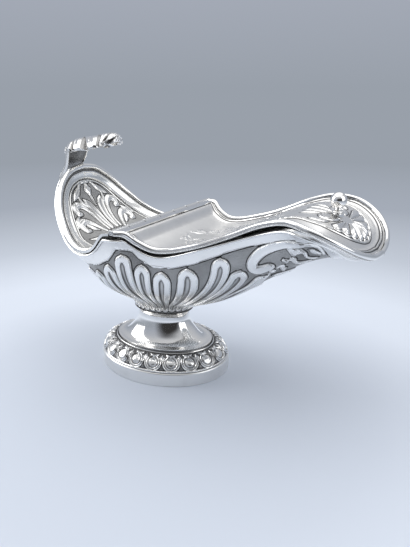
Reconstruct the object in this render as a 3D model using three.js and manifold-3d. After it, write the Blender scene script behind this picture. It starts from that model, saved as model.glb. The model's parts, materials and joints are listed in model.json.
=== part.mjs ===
// Silver incense boat: an oval pedestal foot carries a long covered boat.
// The rear cover is fixed, the front lid turns on a hinge across the shoulders,
// and a cast leaf handle rises behind the stern.
// Millimetres, +Z up, +X towards the lid's tip, built about the middle of the foot.
import * as THREE from 'three';
import { mergeVertices } from 'three/addons/utils/BufferGeometryUtils.js';
import Module from 'manifold-3d';

const wasm = await Module();
wasm.setup();

// Driving dimensions
const seatGap = 0.3;          // solder or bedding gap between two pieces that touch
const footWidth = 59;         // across the foot's band
const footLength = 74;        // along the foot's band
const bandHeight = 7.3;
const bandWall = 2.2;
const friezeFoot = 0.5;       // ledge between the band's face and the frieze
const friezeInset = 9.6;      // how far the frieze runs in from the band's face
const friezeTop = 15.2;       // height of the frieze's upper edge
const friezeWall = 1.1;       // thickness of the frieze's top
const friezeInside = 1.5;     // thickness of its side
const eggCount = 20;
const eggRise = 0.9;
const stemWall = 1.2;
const neckHeight = 33;        // top of the pedestal, where the bowl sits
const neckWidth = 23;         // across the narrowest part of the pedestal
const neckLength = 30.5;
const neckFlare = 1.6;        // how much the pedestal opens again under the bowl
const waistHeight = 27.5;     // height of the narrowest part

const plateThickness = 0.8;   // lid and rear cover
const bowlWall = 1.2;
const wireWidth = 2.8;        // half-round wire on the edges of lid and rear cover
const wireHeight = 1.3;
const rimWire = 1.1;          // height of the wire round the bowl's lip
const lipBead = 0.8;          // how far that wire stands out
const lipInset = 0.9;         // the lip lies this far in from the covers' edges
const bowInset = 2.6;         // and this far in at the bow
const insetReach = [0.777, 0.94]; // where along the lid the one passes into the other, as shares of its reach
const hingeReach = [13, 26];  // this near the hinge the wall hangs straight down, then follows the sheet
const bowReach = [0.813, 0.94];   // and it hangs straight down again between these places towards the tip
const neckOverlap = 0.4;      // the bowl's seat is this much smaller than the pedestal's top
const gadroons = { count: 30, crest: 0.4, channel: 0.8, shoulder: 0.27, foot: 0.9, rise: 0.09 };
// Tops of the gadroons from the bow to the stern, as shares of the way down the wall
const gadroonTops = [
  0.62, 0.5, 0.33, 0.16, 0.14, 0.13, 0.12, 0.14, 0.2, 0.18, 0.2, 0.28, 0.36, 0.43, 0.48, 0.5,
];
const coverWireStart = 0.36;  // the rear cover's wire starts past its steep shoulder
const borderDepth = 1.6;      // the chased field lies this far below the wired edge
const borderFlat = 3.2;       // flat edge under the wire
const borderCove = 4.6;       // width of the cove from the flat edge down to the field
const lidCrown = 1.5;         // the lid's field rises this much again in its middle, over the bow
const crownSlope = 10;        // on a slope this wide
const crownReach = [0.3, 0.6]; // from nothing to full between these shares of the lid's reach
const wireFoot = 0.6;         // share of the wire's height that lies below the edge line

const hinge = { x: 2.4, z: 83.0, halfLength: 44.6 };
const lidReach = 110.2;       // from the hinge to the lid's tip
const coverReach = 53.3;      // from the hinge back to the rear cover's tip
const knuckle = { outer: 1.2, bore: 0.72, count: 7, endGap: 0.4 };
const pinRadius = 0.5;
const strip = { width: 3.4, thickness: 0.6, endInset: 4.4 };

const knob = { setback: 21, ballRadius: 3.3, ballHeight: 5.3, shankRadius: 1.0 };
const collar = { radius: 2.7, height: 1.1 };
const knobWasher = { radius: 2.4, thickness: 1.3 };
const knobNut = { acrossFlats: 4.6, height: 1.5 };
const shankEnd = 0.6;         // how far a shank reaches past its nut
const footBolt = { headRadius: 4.6, headHeight: 1.5, shankRadius: 1.9 };
const footNut = { acrossFlats: 8, height: 3.2 };
const footWasher = { radius: 5.6, thickness: 0.9 };
const holeClearance = 0.3;
const drillReach = 3;         // how far a drill starts and ends outside the sheet

// Edge of the rear cover, from the hinge to the stern: share of the reach, share of the width at the
// hinge, and height above the hinge
const coverEdge = [
  [(knuckle.outer + seatGap) / coverReach, 1, 0.5], [0.1088, 0.993, -0.5], [0.1651, 0.984, -3.2],
  [0.2214, 0.976, -6.8], [0.2927, 0.964, -9.7], [0.4165, 0.938, -10.7], [0.561, 0.878, -8.7],
  [0.7017, 0.782, -4], [0.8574, 0.644, 5], [0.9568, 0.454, 14.6], [0.9925, 0.24, 20.7], [1, 0, 22.6],
];

// Edge of the lid, from the hinge to the tip, written the same way
const lidEdge = [
  [(knuckle.outer + seatGap) / lidReach, 1, 0.7], [0.0544, 0.971, 0.5], [0.0998, 0.911, -3.2],
  [0.1597, 0.864, -6], [0.2278, 0.84, -5.7], [0.3639, 0.808, -1.5], [0.4773, 0.746, 3.4],
  [0.6044, 0.715, 9.6], [0.7087, 0.762, 12.5], [0.8103, 0.822, 10.8], [0.902, 0.744, 6],
  [0.9655, 0.557, 0.3], [0.9946, 0.29, -4.1], [1, 0, -6],
];

const alongLid = (share) => hinge.x + share * lidReach;
const alongCover = (share) => hinge.x - share * coverReach;

// Where the covers clear the bowl's lip: at the shoulders, in the dip ahead, over the hump and at the tip
const lipGaps = [
  { x: hinge.x, reach: 8, rise: 1.5 },
  { x: alongLid(0.169), reach: 13, rise: 1.4 },
  { x: alongLid(0.6225), reach: 15, rise: 1.6 },
  { x: alongLid(0.9946), reach: 6, rise: 2.0 },
];

// Pull of the bowl's wall at places along the boat: at the lip away from the covers and in under them,
// at the neck outward and upward
const wallPulls = [
  { x: alongCover(1.04), away: 12, under: 34, out: 18, up: 8 },             // stern
  { x: alongCover(0.758), away: 12.3, under: 19.4, out: 11.3, up: 14.4 },   // stern quarter
  { x: 0, away: 27.5, under: -0.8, out: 17, up: 19 },                       // amidships
  { x: alongLid(0.6134), away: 18.3, under: 3.7, out: 37.6, up: 20.1 },     // flank of the spout
  { x: alongLid(0.9764), away: 2.8, under: 31.9, out: 48.5, up: 19.9 },     // bow
];

// Cast handle: a strap lies on the stern, scrolls up behind it and opens into a lobed leaf over the cover.
// Its pad lies between two heights below the hinge, and its lines start from the rear cover's tip.
const scroll = { width: 8, topWidth: 13, thickness: 2.4, padLow: -7, padHigh: -1 };
const scrollLine = [
  [-13.1, -17.3], [-14.4, -12.8], [-13.3, -8.4], [-9.9, -4.6], [-6.9, -1.2], [-5.1, 2.0],
  [-3.9, 5.4], [-3.3, 9.0],
];
const leaf = { halfWidth: 11.6, thickness: 1.7, droop: 4.2, lobes: 4, lobeDepth: 0.14, fold: 0.7 };
const leafLine = [
  [-10.7, 6.3], [-7.3, 9.9], [-2.6, 12], [2.4, 13.3], [9.9, 14.1], [17.7, 16.2], [21.6, 17],
  [24.7, 15.5], [25.9, 12.8],
];

const steps = {
  lid: 32, cover: 26, bowlRound: 64, bowlDown: 9, bowlInside: 6, oval: 36, wire: 6, leaf: 24, scroll: 16,
  outline: 119,
};

const silver = (name, color, roughness) =>
  new THREE.MeshStandardMaterial({ name, color, roughness, metalness: 1 });
const polishedSilver = silver('polished_silver', 0xdcdcd8, 0.16);
const satinSilver = silver('satin_silver', 0xc9cbc9, 0.34);
const chasedSilver = silver('chased_silver', 0xb9bab6, 0.3);
const wireSilver = silver('wire_silver', 0xe6e6e2, 0.14);

const boat = new THREE.Group();

const point = (x, y, z) => new THREE.Vector3(x, y, z);
const mix = THREE.MathUtils.lerp;
const smooth = (x, low, high) => THREE.MathUtils.smoothstep(x, low, high);

// Turns a list of vertices and triangles into a closed geometry with its faces outward
function solidGeometry(vertices, triangles) {
  const geometry = new THREE.BufferGeometry();
  const places = vertices.flatMap((v) => [v.x, v.y, v.z]);
  geometry.setAttribute('position', new THREE.Float32BufferAttribute(places, 3));
  const volume = triangles.reduce((sum, [a, b, c]) =>
    sum + vertices[a].dot(vertices[b].clone().cross(vertices[c])), 0);
  geometry.setIndex(triangles.flatMap(([a, b, c]) => (volume < 0 ? [a, c, b] : [a, b, c])));
  return geometry;
}

// Joins closed rings of equal length into a solid: its ends are capped, or the last ring meets the first
function loftRings(rings, endless = false) {
  const count = rings[0].length;
  const vertices = rings.flat();
  const triangles = [];
  const spans = endless ? rings.length : rings.length - 1;
  for (let i = 0; i < spans; i += 1) {
    const low = i * count;
    const high = ((i + 1) % rings.length) * count;
    for (let j = 0; j < count; j += 1) {
      const k = (j + 1) % count;
      triangles.push([low + j, low + k, high + k], [low + j, high + k, high + j]);
    }
  }
  if (!endless) {
    for (const [start, turned] of [[0, true], [(rings.length - 1) * count, false]]) {
      const ring = vertices.slice(start, start + count);
      const centre = ring.reduce((sum, v) => sum.add(v), point(0, 0, 0)).divideScalar(count);
      vertices.push(centre);
      const tip = vertices.length - 1;
      for (let j = 0; j < count; j += 1) {
        const k = (j + 1) % count;
        triangles.push(turned ? [tip, start + k, start + j] : [tip, start + j, start + k]);
      }
    }
  }
  return solidGeometry(vertices, triangles);
}

// Merged vertices make a three.js geometry a solid that can be cut, and back again
function toSolid(geometry) {
  const bare = geometry.clone();
  bare.deleteAttribute('normal');
  bare.deleteAttribute('uv');
  const merged = mergeVertices(bare, 1e-5);
  return new wasm.Manifold(new wasm.Mesh({
    numProp: 3,
    vertProperties: Float32Array.from(merged.attributes.position.array),
    triVerts: Uint32Array.from(merged.index.array),
  }));
}

function toGeometry(solid) {
  const mesh = solid.getMesh();
  const geometry = new THREE.BufferGeometry();
  geometry.setAttribute('position', new THREE.BufferAttribute(mesh.vertProperties, 3));
  geometry.setIndex(new THREE.BufferAttribute(mesh.triVerts, 1));
  return geometry;
}

function cutHole(geometry, radius, x, bottom, top) {
  const drill = new THREE.CylinderGeometry(radius, radius, top - bottom, 20);
  drill.rotateX(Math.PI / 2);
  drill.translate(x, 0, (top + bottom) / 2);
  return toGeometry(toSolid(geometry).subtract(toSolid(drill)));
}

function addPiece(parent, name, geometry, material) {
  const faceted = geometry.index ? geometry.toNonIndexed() : geometry;
  faceted.computeVertexNormals();
  const mesh = new THREE.Mesh(faceted, material);
  mesh.name = name;
  parent.add(mesh);
  return mesh;
}

// Oval foot: every ring is an oval whose length exceeds its width by a stretch that fades up the stem
const footStretch = (footLength - footWidth) / 2;
const neckStretch = (neckLength - neckWidth) / 2;
const stretchAt = (z) => mix(footStretch, neckStretch, smooth(z, friezeTop, waistHeight));

function ovalRing(halfWidth, z, count = steps.oval) {
  return Array.from({ length: count }, (_, i) => {
    const angle = (i / count) * 2 * Math.PI;
    return point((halfWidth + stretchAt(z)) * Math.cos(angle), halfWidth * Math.sin(angle), z);
  });
}

const ovalTurning = (profile) => loftRings(profile.map(([r, z]) => ovalRing(r, z)), true);

function footRim() {
  const face = footWidth / 2;
  const edge = 0.5;
  return ovalTurning([
    [face - bandWall, 0], [face - edge, 0], [face, edge], [face, bandHeight - edge],
    [face - edge, bandHeight], [face - bandWall, bandHeight],
  ]);
}

// Height and radius of the frieze's rounded face, k from its foot to its upper edge
function friezeFace(k, rise = 0) {
  const turn = (k * Math.PI) / 2;
  const start = footWidth / 2 - friezeFoot;
  const reach = friezeInset - friezeFoot;
  const height = friezeTop - bandHeight - seatGap;
  const r = start - reach * (1 - Math.cos(turn)) + rise * Math.cos(turn);
  return [r, bandHeight + seatGap + height * Math.sin(turn) + rise * Math.sin(turn)];
}

function footFrieze() {
  const perEgg = 4;
  const count = eggCount * perEgg;
  const levels = [0, 0.2, 0.46, 0.72, 1];
  const swell = (k) => Math.max(0, Math.cos(((k - 0.46) / 0.34) * (Math.PI / 2)));
  const outer = levels.map((k) => {
    const plain = friezeFace(k);
    const proud = friezeFace(k, eggRise * (Math.abs(k - 0.46) < 0.34 ? swell(k) : 0));
    const low = ovalRing(plain[0], plain[1], count);
    const high = ovalRing(proud[0], proud[1], count);
    return low.map((v, i) => v.clone().lerp(high[i], [1, 0.55, 0, 0.55][i % perEgg]));
  });
  const inner = [1, 0.5, 0].map((k) => {
    const [r, z] = friezeFace(k);
    return ovalRing(r - friezeInside, Math.max(z - friezeWall, bandHeight + seatGap), count);
  });
  return loftRings([...outer, ...inner], true);
}

// The pedestal's curve in Bezier arcs, from its flange up to the neck's flare
const flangeReach = footWidth / 2 - friezeInset + 0.4;
const stemFoot = friezeTop + seatGap;

function stemFace(offset) {
  const waist = neckWidth / 2;
  const flare = new THREE.QuadraticBezierCurve(
    new THREE.Vector2(waist, waistHeight),
    new THREE.Vector2(waist, mix(waistHeight, neckHeight, 0.6)),
    new THREE.Vector2(waist + neckFlare, neckHeight),
  );
  const sweep = new THREE.CubicBezierCurve(
    new THREE.Vector2(flangeReach, stemFoot + 0.9),
    new THREE.Vector2(flangeReach - 3.4, stemFoot + 3.4),
    new THREE.Vector2(waist, mix(stemFoot, waistHeight, 0.35)),
    new THREE.Vector2(waist, waistHeight),
  );
  const shape = [...sweep.getPoints(6), ...flare.getPoints(2).slice(1)];
  return shape.map((v) => [v.x - offset, v.y]);
}

function footStem() {
  const outer = stemFace(0);
  const inner = stemFace(stemWall).reverse().map(([r, z]) => [r, Math.min(z, neckHeight - stemWall)]);
  const hole = footBolt.shankRadius + holeClearance;
  return ovalTurning([
    [flangeReach, stemFoot], ...outer, [hole, neckHeight], [hole, neckHeight - stemWall], ...inner,
    [flangeReach - stemWall, stemFoot],
  ]);
}

// Edge curves of the covers, and the direction square to their sheet at each place
const halfBeam = hinge.halfLength + seatGap;
const edgeCurve = (stations, along) => new THREE.CatmullRomCurve3(
  stations.map(([reach, width, rise]) => point(along(reach), width * halfBeam, hinge.z + rise)),
);
const lidCurve = edgeCurve(lidEdge, alongLid);
const coverCurve = edgeCurve(coverEdge, alongCover);

function sheetNormal(curve, t) {
  const span = 0.012;
  const a = curve.getPoint(Math.max(0, Math.min(t, 1 - 2 * span) - span));
  const b = curve.getPoint(Math.min(1, Math.min(t, 1 - 2 * span) + span));
  const normal = point(-(b.z - a.z), 0, b.x - a.x).normalize();
  return normal.z < 0 ? normal.negate() : normal;
}

// Places along an edge: even steps that close up towards the tip, where the outline turns across
const edgePlaces = (count) => Array.from({ length: count + 1 }, (_, i) => {
  const k = i / count;
  return Math.min(0.996, 1 - (1 - k) ** 1.35);
});

// How far a sheet's top lies below its edge line
const sheetDrop = seatGap + wireHeight * wireFoot;

// A cover is a sheet bent along its length, with its field sunk inside the wired edge and a crown in it
function coverSheet(curve, count, crown = 0) {
  const outline = curve.getPoints(steps.outline);
  const inset = [0, borderFlat, borderFlat + borderCove / 2, borderFlat + borderCove];
  const sunk = (v) => {
    const distance = Math.min(...outline.map((o) => o.distanceTo(point(v.x, Math.abs(v.y), v.z))));
    const crownShare = smooth(v.x, ...crownReach.map(alongLid))
      * smooth(distance, borderFlat + borderCove, borderFlat + borderCove + crownSlope);
    return borderDepth * smooth(distance, borderFlat, borderFlat + borderCove) - crown * crownShare;
  };
  const rings = edgePlaces(count).map((t) => {
    const edge = curve.getPoint(t);
    const normal = sheetNormal(curve, t);
    const fit = Math.min(1, edge.y / (1.25 * inset[3]));
    const half = [...inset.map((d) => edge.y - d * fit), (edge.y - inset[3] * fit) * 0.5];
    const across = [...half.map((y) => -y), 0, ...[...half].reverse()];
    const hingeFade = smooth(edge.distanceTo(curve.getPoint(0)), strip.width + 2, strip.width + 8);
    const top = across.map((y) => {
      const v = point(edge.x, y, edge.z);
      return v.addScaledVector(normal, -sheetDrop - sunk(v) * hingeFade);
    });
    const bottom = top.map((v) => v.clone().addScaledVector(normal, -plateThickness)).reverse();
    return [...top, ...bottom];
  });
  return loftRings(rings);
}

// Half-round wire along an edge, from near one end of the hinge round the tip to the other
function edgeWire(curve, count, start = 0) {
  const half = edgePlaces(count).filter((t) => t >= start && t < 0.995);
  const near = half.map((t) => ({ at: curve.getPoint(t), normal: sheetNormal(curve, t) }));
  const tip = { at: curve.getPoint(1), normal: sheetNormal(curve, 1) };
  const far = [...near].reverse().map((s) => ({ at: point(s.at.x, -s.at.y, s.at.z), normal: s.normal }));
  const path = [...near, { at: tip.at.setY(0), normal: tip.normal }, ...far];
  const facing = Math.sign(near[near.length - 1].at.x - near[0].at.x);
  return loftRings(path.map((s, i) => {
    const before = path[Math.max(0, i - 1)].at;
    const after = path[Math.min(path.length - 1, i + 1)].at;
    const along = after.clone().sub(before).normalize();
    const inward = s.normal.clone().cross(along).normalize().multiplyScalar(-facing);
    if (i === 0 || i === path.length - 1) inward.set(0, i === 0 ? -1 : 1, 0);
    return Array.from({ length: steps.wire }, (_, j) => {
      const angle = (j / (steps.wire - 1)) * Math.PI;
      return s.at.clone()
        .addScaledVector(inward, (wireWidth / 2) * (1 - Math.cos(angle)))
        .addScaledVector(s.normal, wireHeight * (Math.sin(angle) - wireFoot));
    });
  }));
}

// Pulls at a place along the boat, eased between the two named places on either side of it
function pullsAt(x) {
  const last = wallPulls.length - 1;
  const after = wallPulls.findIndex((p) => p.x >= x);
  const next = after < 0 ? last : Math.max(1, after);
  const [a, b] = [wallPulls[next - 1], wallPulls[next]];
  const k = smooth(x, a.x, b.x);
  const eased = (key) => mix(a[key], b[key], k);
  return { away: eased('away'), under: eased('under'), out: eased('out'), up: eased('up') };
}

// The bowl's lip follows beneath the covers' edges, low enough for its thickness to clear their sheets
const lipDrop = sheetDrop + plateThickness + seatGap;

// Direction from an edge in towards the middle of a sheet with the given normal
function inwardOf(curve, t, normal) {
  const back = Math.sign(hinge.x - curve.getPoint(t).x);
  if (t === 1) return point(back * normal.z, 0, -back * normal.x);
  const along = curve.getPoint(Math.min(1, t + 0.01)).sub(curve.getPoint(Math.max(0, t - 0.01)));
  const inward = normal.clone().cross(along).normalize();
  return inward.y > 0 ? inward.negate() : inward;
}

function lipStation(curve, t) {
  const at = curve.getPoint(t);
  const normal = sheetNormal(curve, t);
  const nearHinge = 1 - smooth(Math.abs(at.x - hinge.x), ...hingeReach);
  const upright = Math.max(nearHinge, smooth(at.x, ...bowReach.map(alongLid)));
  const hang = normal.clone().lerp(point(0, 0, 1), upright).normalize();
  const pulls = pullsAt(at.x);
  const tilt = Math.max(0, pulls.under) / Math.hypot(pulls.under, pulls.away);
  const gap = lipGaps.reduce((sum, g) => sum + g.rise * Math.exp(-(((at.x - g.x) / g.reach) ** 2)), 0);
  const inset = mix(lipInset, bowInset, smooth(at.x, ...insetReach.map(alongLid)));
  const inward = inwardOf(curve, t, hang);
  const sheetInward = inwardOf(curve, t, normal);
  at.addScaledVector(normal, -lipDrop - gap - tilt * bowlWall).addScaledVector(sheetInward, inset);
  if (t === 1) at.y = 0;
  return { at, hang, inward };
}

const sternStations = Array.from({ length: 16 }, (_, i) => lipStation(coverCurve, 1 - i / 16));
const bowStations = Array.from({ length: 24 }, (_, i) => lipStation(lidCurve, (i + 1) / 24));
const shoulder = lipStation(lidCurve, 0);
shoulder.at.x = hinge.x;
const halfLip = [...sternStations, shoulder, ...bowStations];

// Closed curve round the lip, from the stern along the near side to the bow and back
function roundLip(key) {
  const near = halfLip.map((s) => point(s[key].x, -s[key].y, s[key].z));
  const far = halfLip.slice(1, -1).reverse().map((s) => s[key]);
  return new THREE.CatmullRomCurve3([...near, ...far], true);
}

const lipCurve = roundLip('at');
const lipHangs = roundLip('hang');
const lipInwards = roundLip('inward');

const bowlFloor = neckHeight + seatGap + bowlWall;

// Outer face of the bowl: a Bezier arc from the lip down to the neck, for a place round the lip
function wallFace(place, down) {
  const turn = (place + 1) % 1;
  const lip = lipCurve.getPoint(turn);
  const pulls = pullsAt(lip.x);
  const upper = lip.clone().addScaledVector(lipHangs.getPoint(turn), -pulls.away)
    .addScaledVector(lipInwards.getPoint(turn), pulls.under);
  const angle = Math.atan2(lip.y, lip.x);
  const neckHalf = neckWidth / 2 + neckFlare - neckOverlap;
  const out = point(Math.cos(angle), Math.sin(angle), 0);
  const neck = point((neckHalf + neckStretch) * out.x, neckHalf * out.y, neckHeight + seatGap);
  const lower = neck.clone().addScaledVector(out, pulls.out);
  lower.z += pulls.up;
  return new THREE.CubicBezierCurve3(lip, upper, lower, neck).getPoint(down);
}

// Inward direction square to the wall
function wallInward(place, down) {
  const around = wallFace(place + 0.003, down).sub(wallFace(place - 0.003, down));
  const below = wallFace(place, Math.min(1, down + 0.01));
  const downward = below.sub(wallFace(place, Math.max(0, down - 0.01)));
  return around.cross(downward).normalize();
}

// Which gadroon a place round the lip belongs to: they are spaced evenly by angle, with one on the bow's keel
function gadroonAt(place) {
  const lip = lipCurve.getPoint((place + 1) % 1);
  return (Math.abs(Math.atan2(lip.y, lip.x)) * gadroons.count) / (2 * Math.PI);
}

// Gadroons: flat tongues with channels between them, from below the plain band down to the neck
function gadroonRise(place, down) {
  const number = gadroonAt(place);
  const across = Math.abs(number - Math.round(number));
  const tongue = mix(gadroons.crest, -gadroons.channel, smooth(across, gadroons.shoulder, 0.5));
  const top = gadroonTops[Math.round(number)];
  return tongue * smooth(down, top - gadroons.rise, top) * (1 - smooth(down, gadroons.foot, 1));
}

// Place between the stern and the bow where the count of gadroons from the bow has a value
function gadroonPlace(number) {
  let place = 0.25;
  for (let low = 0, high = 0.5, i = 0; i < 30; i += 1) {
    place = (low + high) / 2;
    if (gadroonAt(place) > number) low = place;
    else high = place;
  }
  return place;
}

// Columns of the bowl: a channel and two shoulders to each gadroon, and more where these lie far apart
function bowlColumns() {
  const last = gadroons.count / 2;
  const near = [0, 0.5];
  for (let i = 0; i <= last; i += 1) {
    for (const share of [-0.5, -gadroons.shoulder, gadroons.shoulder]) {
      if (i + share > 0 && i + share < last) near.push(gadroonPlace(i + share));
    }
  }
  near.sort((a, b) => a - b);
  const filled = near.slice(1).flatMap((end, i) => {
    const parts = Math.ceil((end - near[i]) * steps.bowlRound);
    return Array.from({ length: parts }, (_, j) => mix(near[i], end, j / parts));
  });
  return [...filled, 0.5, ...filled.slice(1).reverse().map((place) => 1 - place)];
}

const bowlPlaces = bowlColumns();

function bowlShell() {
  const levelsOf = (count) => Array.from({ length: count + 1 }, (_, i) => (i / count) ** 1.25);
  const outer = levelsOf(steps.bowlDown).map((k) => bowlPlaces.map((p) =>
    wallFace(p, k).addScaledVector(wallInward(p, k), -gadroonRise(p, k))));
  const inner = levelsOf(steps.bowlInside).map((k) => bowlPlaces.map((p) => {
    const v = wallFace(p, k).addScaledVector(wallInward(p, k), bowlWall - gadroonRise(p, k));
    return point(v.x, v.y, Math.max(v.z, bowlFloor));
  }));
  const shell = loftRings([...[...outer].reverse(), ...inner]);
  return cutHole(shell, footBolt.shankRadius + holeClearance, 0, neckHeight - 1, bowlFloor + 1);
}

// Small half-round wire round the outside of the lip
function lipWire() {
  const section = [[0, 0], [0.8, 0.15], [0.95, 0.55], [0.8, 0.95], [0, 1.1]];
  return loftRings(bowlPlaces.map((p) => {
    const lip = wallFace(p, 0);
    const inward = wallInward(p, 0);
    const downward = wallFace(p, 0.01).sub(lip).normalize();
    return section.map(([out, down]) => lip.clone()
      .addScaledVector(inward, -seatGap - out * lipBead)
      .addScaledVector(downward, down * rimWire));
  }), true);
}

// Hinge: seven knuckles in turn on the rear cover and the lid, with one pin through them
const barrelLength = 2 * hinge.halfLength;
const knuckleLength = (barrelLength - (knuckle.count - 1) * knuckle.endGap) / knuckle.count;

function knuckleTube() {
  const half = knuckleLength / 2;
  const { bore, outer } = knuckle;
  const profile = [[bore, -half], [outer, -half], [outer, half], [bore, half], [bore, -half]];
  return new THREE.LatheGeometry(profile.map(([r, y]) => new THREE.Vector2(r, y)), 10);
}

function hingeStrip() {
  const near = hinge.x + knuckle.outer + 2 * seatGap;
  const top = lidCurve.getPoint(0).z - sheetDrop;
  const length = 2 * (hinge.halfLength - strip.endInset);
  const geometry = new THREE.BoxGeometry(strip.width, length, strip.thickness);
  geometry.translate(near + strip.width / 2, 0, top + seatGap + strip.thickness / 2);
  return geometry;
}

// Turned pieces stand on a vertical axis
function turning(profile, segments, x, z) {
  const geometry = new THREE.LatheGeometry(profile.map(([r, y]) => new THREE.Vector2(r, y)), segments);
  geometry.rotateX(Math.PI / 2);
  geometry.translate(x, 0, z);
  return geometry;
}

// Height and fore-and-aft slope of the lid's sheet where the knob stands
function lidTopAt(x) {
  let t = 0.5;
  for (let low = 0, high = 1, i = 0; i < 40; i += 1) {
    t = (low + high) / 2;
    if (lidCurve.getPoint(t).x < x) low = t;
    else high = t;
  }
  const normal = sheetNormal(lidCurve, t);
  const top = lidCurve.getPoint(t).z - (sheetDrop + borderDepth - lidCrown) / normal.z;
  return { top, under: top - plateThickness / normal.z, slope: -normal.x / normal.z };
}

const knobX = hinge.x + lidReach - knob.setback;
const seat = lidTopAt(knobX);
const collarTop = seat.top + collar.height;
const knobHole = knob.shankRadius + holeClearance;
const washerDrop = knobWasher.radius * Math.abs(seat.slope) + knobWasher.thickness;
const washerBottom = seat.under - seatGap - washerDrop;
const knobNutBottom = washerBottom - seatGap - knobNut.height;

// Tapered ring round the knob's shank: level at one end, and cut to the slope of the lid at the other
function taperedRing(radius, level, slopeHeight) {
  const ring = (r, z) => Array.from({ length: 18 }, (_, i) => {
    const angle = (i / 18) * 2 * Math.PI;
    const dx = r * Math.cos(angle);
    return point(knobX + dx, r * Math.sin(angle), z ?? slopeHeight + seat.slope * dx);
  });
  const bevel = mix(level, slopeHeight, 0.4);
  return loftRings([ring(knobHole, level), ring(radius * 0.86, level), ring(radius, bevel), ring(radius),
    ring(knobHole)], true);
}

function knobPiece() {
  const shankFoot = knobNutBottom - shankEnd - collarTop - seatGap;
  const ball = Array.from({ length: 9 }, (_, i) => {
    const angle = mix(-1.12, Math.PI / 2, i / 8);
    const r = i === 8 ? 0 : knob.ballRadius * Math.cos(angle);
    return [r, knob.ballHeight + knob.ballRadius * Math.sin(angle)];
  });
  const shank = [[0, shankFoot], [knob.shankRadius, shankFoot], [knob.shankRadius, 0]];
  const stem = [[collar.radius, 0], [collar.radius, 0.6], [1.5, 1.3], [1.15, 2.2]];
  return turning([...shank, ...stem, ...ball], 16, knobX, collarTop + seatGap);
}

// Hexagonal nut with a bore, standing on the height z
function hexNut(across, height, bore, x, z) {
  const corner = across / Math.sqrt(3);
  const hexagon = new THREE.Shape(Array.from({ length: 6 }, (_, i) => {
    const angle = (i / 6) * 2 * Math.PI;
    return new THREE.Vector2(corner * Math.cos(angle), corner * Math.sin(angle));
  }));
  hexagon.holes.push(new THREE.Path().absarc(0, 0, bore, 0, 2 * Math.PI, true));
  const options = { depth: height, bevelEnabled: false, curveSegments: 6 };
  const geometry = new THREE.ExtrudeGeometry(hexagon, options);
  geometry.translate(x, 0, z);
  return geometry;
}

const sternTip = coverCurve.getPoint(1);
const fromStern = ([x, z]) => point(sternTip.x + x, 0, sternTip.z + z);

// Middle line of the strap where it lies on the stern, at a height
function padPoint(z) {
  let down = 0.5;
  for (let low = 0, high = 1, i = 0; i < 40; i += 1) {
    down = (low + high) / 2;
    if (wallFace(0, down).z > z) low = down;
    else high = down;
  }
  return wallFace(0, down).addScaledVector(wallInward(0, down), -seatGap - scroll.thickness / 2);
}

// Handle: a strap that widens as it climbs, joined in one casting to the lobed leaf
function handleScroll() {
  const pad = [0, 0.5, 1].map((k) => padPoint(hinge.z + mix(scroll.padLow, scroll.padHigh, k)));
  const line = new THREE.CatmullRomCurve3([...pad, ...scrollLine.map(fromStern)]);
  const half = [[0.8, -1], [1, -0.5], [1, 0.5], [0.8, 1]];
  const section = [...half, ...[...half].reverse().map(([across, out]) => [-across, out])];
  return loftRings(Array.from({ length: steps.scroll + 1 }, (_, i) => {
    const k = i / steps.scroll;
    const at = line.getPoint(k);
    const along = line.getTangent(k);
    const normal = point(-along.z, 0, along.x);
    const reach = mix(scroll.width, scroll.topWidth, smooth(k, 0.35, 1)) / 2;
    return section.map(([across, out]) => at.clone()
      .addScaledVector(normal, (out * scroll.thickness) / 2)
      .add(point(0, across * reach, 0)));
  }));
}

function handleLeaf() {
  const line = new THREE.CatmullRomCurve3(leafLine.map(fromStern));
  const spread = [-1, -0.82, -0.5, 0, 0.5, 0.82, 1];
  return loftRings(Array.from({ length: steps.leaf + 1 }, (_, i) => {
    const k = i / steps.leaf;
    const at = line.getPoint(mix(0.004, 0.996, k));
    const along = line.getTangent(k);
    const normal = point(-along.z, 0, along.x);
    const outline = Math.sin(Math.PI * mix(0.13, 0.9, k)) ** 0.55;
    const wave = Math.cos(2 * Math.PI * leaf.lobes * k);
    const half = leaf.halfWidth * outline * (1 - leaf.lobeDepth * (1 + wave));
    const droop = leaf.droop * outline * mix(0.6, 1.35, k);
    const top = spread.map((v) => at.clone()
      .addScaledVector(normal, -droop * Math.abs(v) ** 2.4 - leaf.fold * wave * Math.abs(v))
      .add(point(0, v * half, 0)));
    const bottom = top.map((v) => v.clone().addScaledVector(normal, -leaf.thickness)).reverse();
    return [...top, ...bottom];
  }));
}

const stemUnder = neckHeight - stemWall;
const footBore = footBolt.shankRadius + holeClearance;
const footWasherBottom = stemUnder - seatGap - footWasher.thickness;
const footNutBottom = footWasherBottom - seatGap - footNut.height;

// Domed bolt that stands in the bowl's floor and reaches down past its nut
function boltPiece() {
  const shankFoot = footNutBottom - shankEnd - bowlFloor - seatGap;
  const { shankRadius, headRadius, headHeight } = footBolt;
  const shank = [[0, shankFoot], [shankRadius, shankFoot], [shankRadius, 0]];
  const dome = [[1, 0], [0.9, 0.6], [0.5, 1], [0, 1]].map(([r, z]) => [r * headRadius, z * headHeight]);
  return turning([...shank, ...dome], 18, 0, bowlFloor + seatGap);
}

function washerPiece() {
  const { radius, thickness } = footWasher;
  const profile = [[footBore, 0], [radius, 0], [radius, thickness], [footBore, thickness], [footBore, 0]];
  return turning(profile, 18, 0, footWasherBottom);
}

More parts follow.
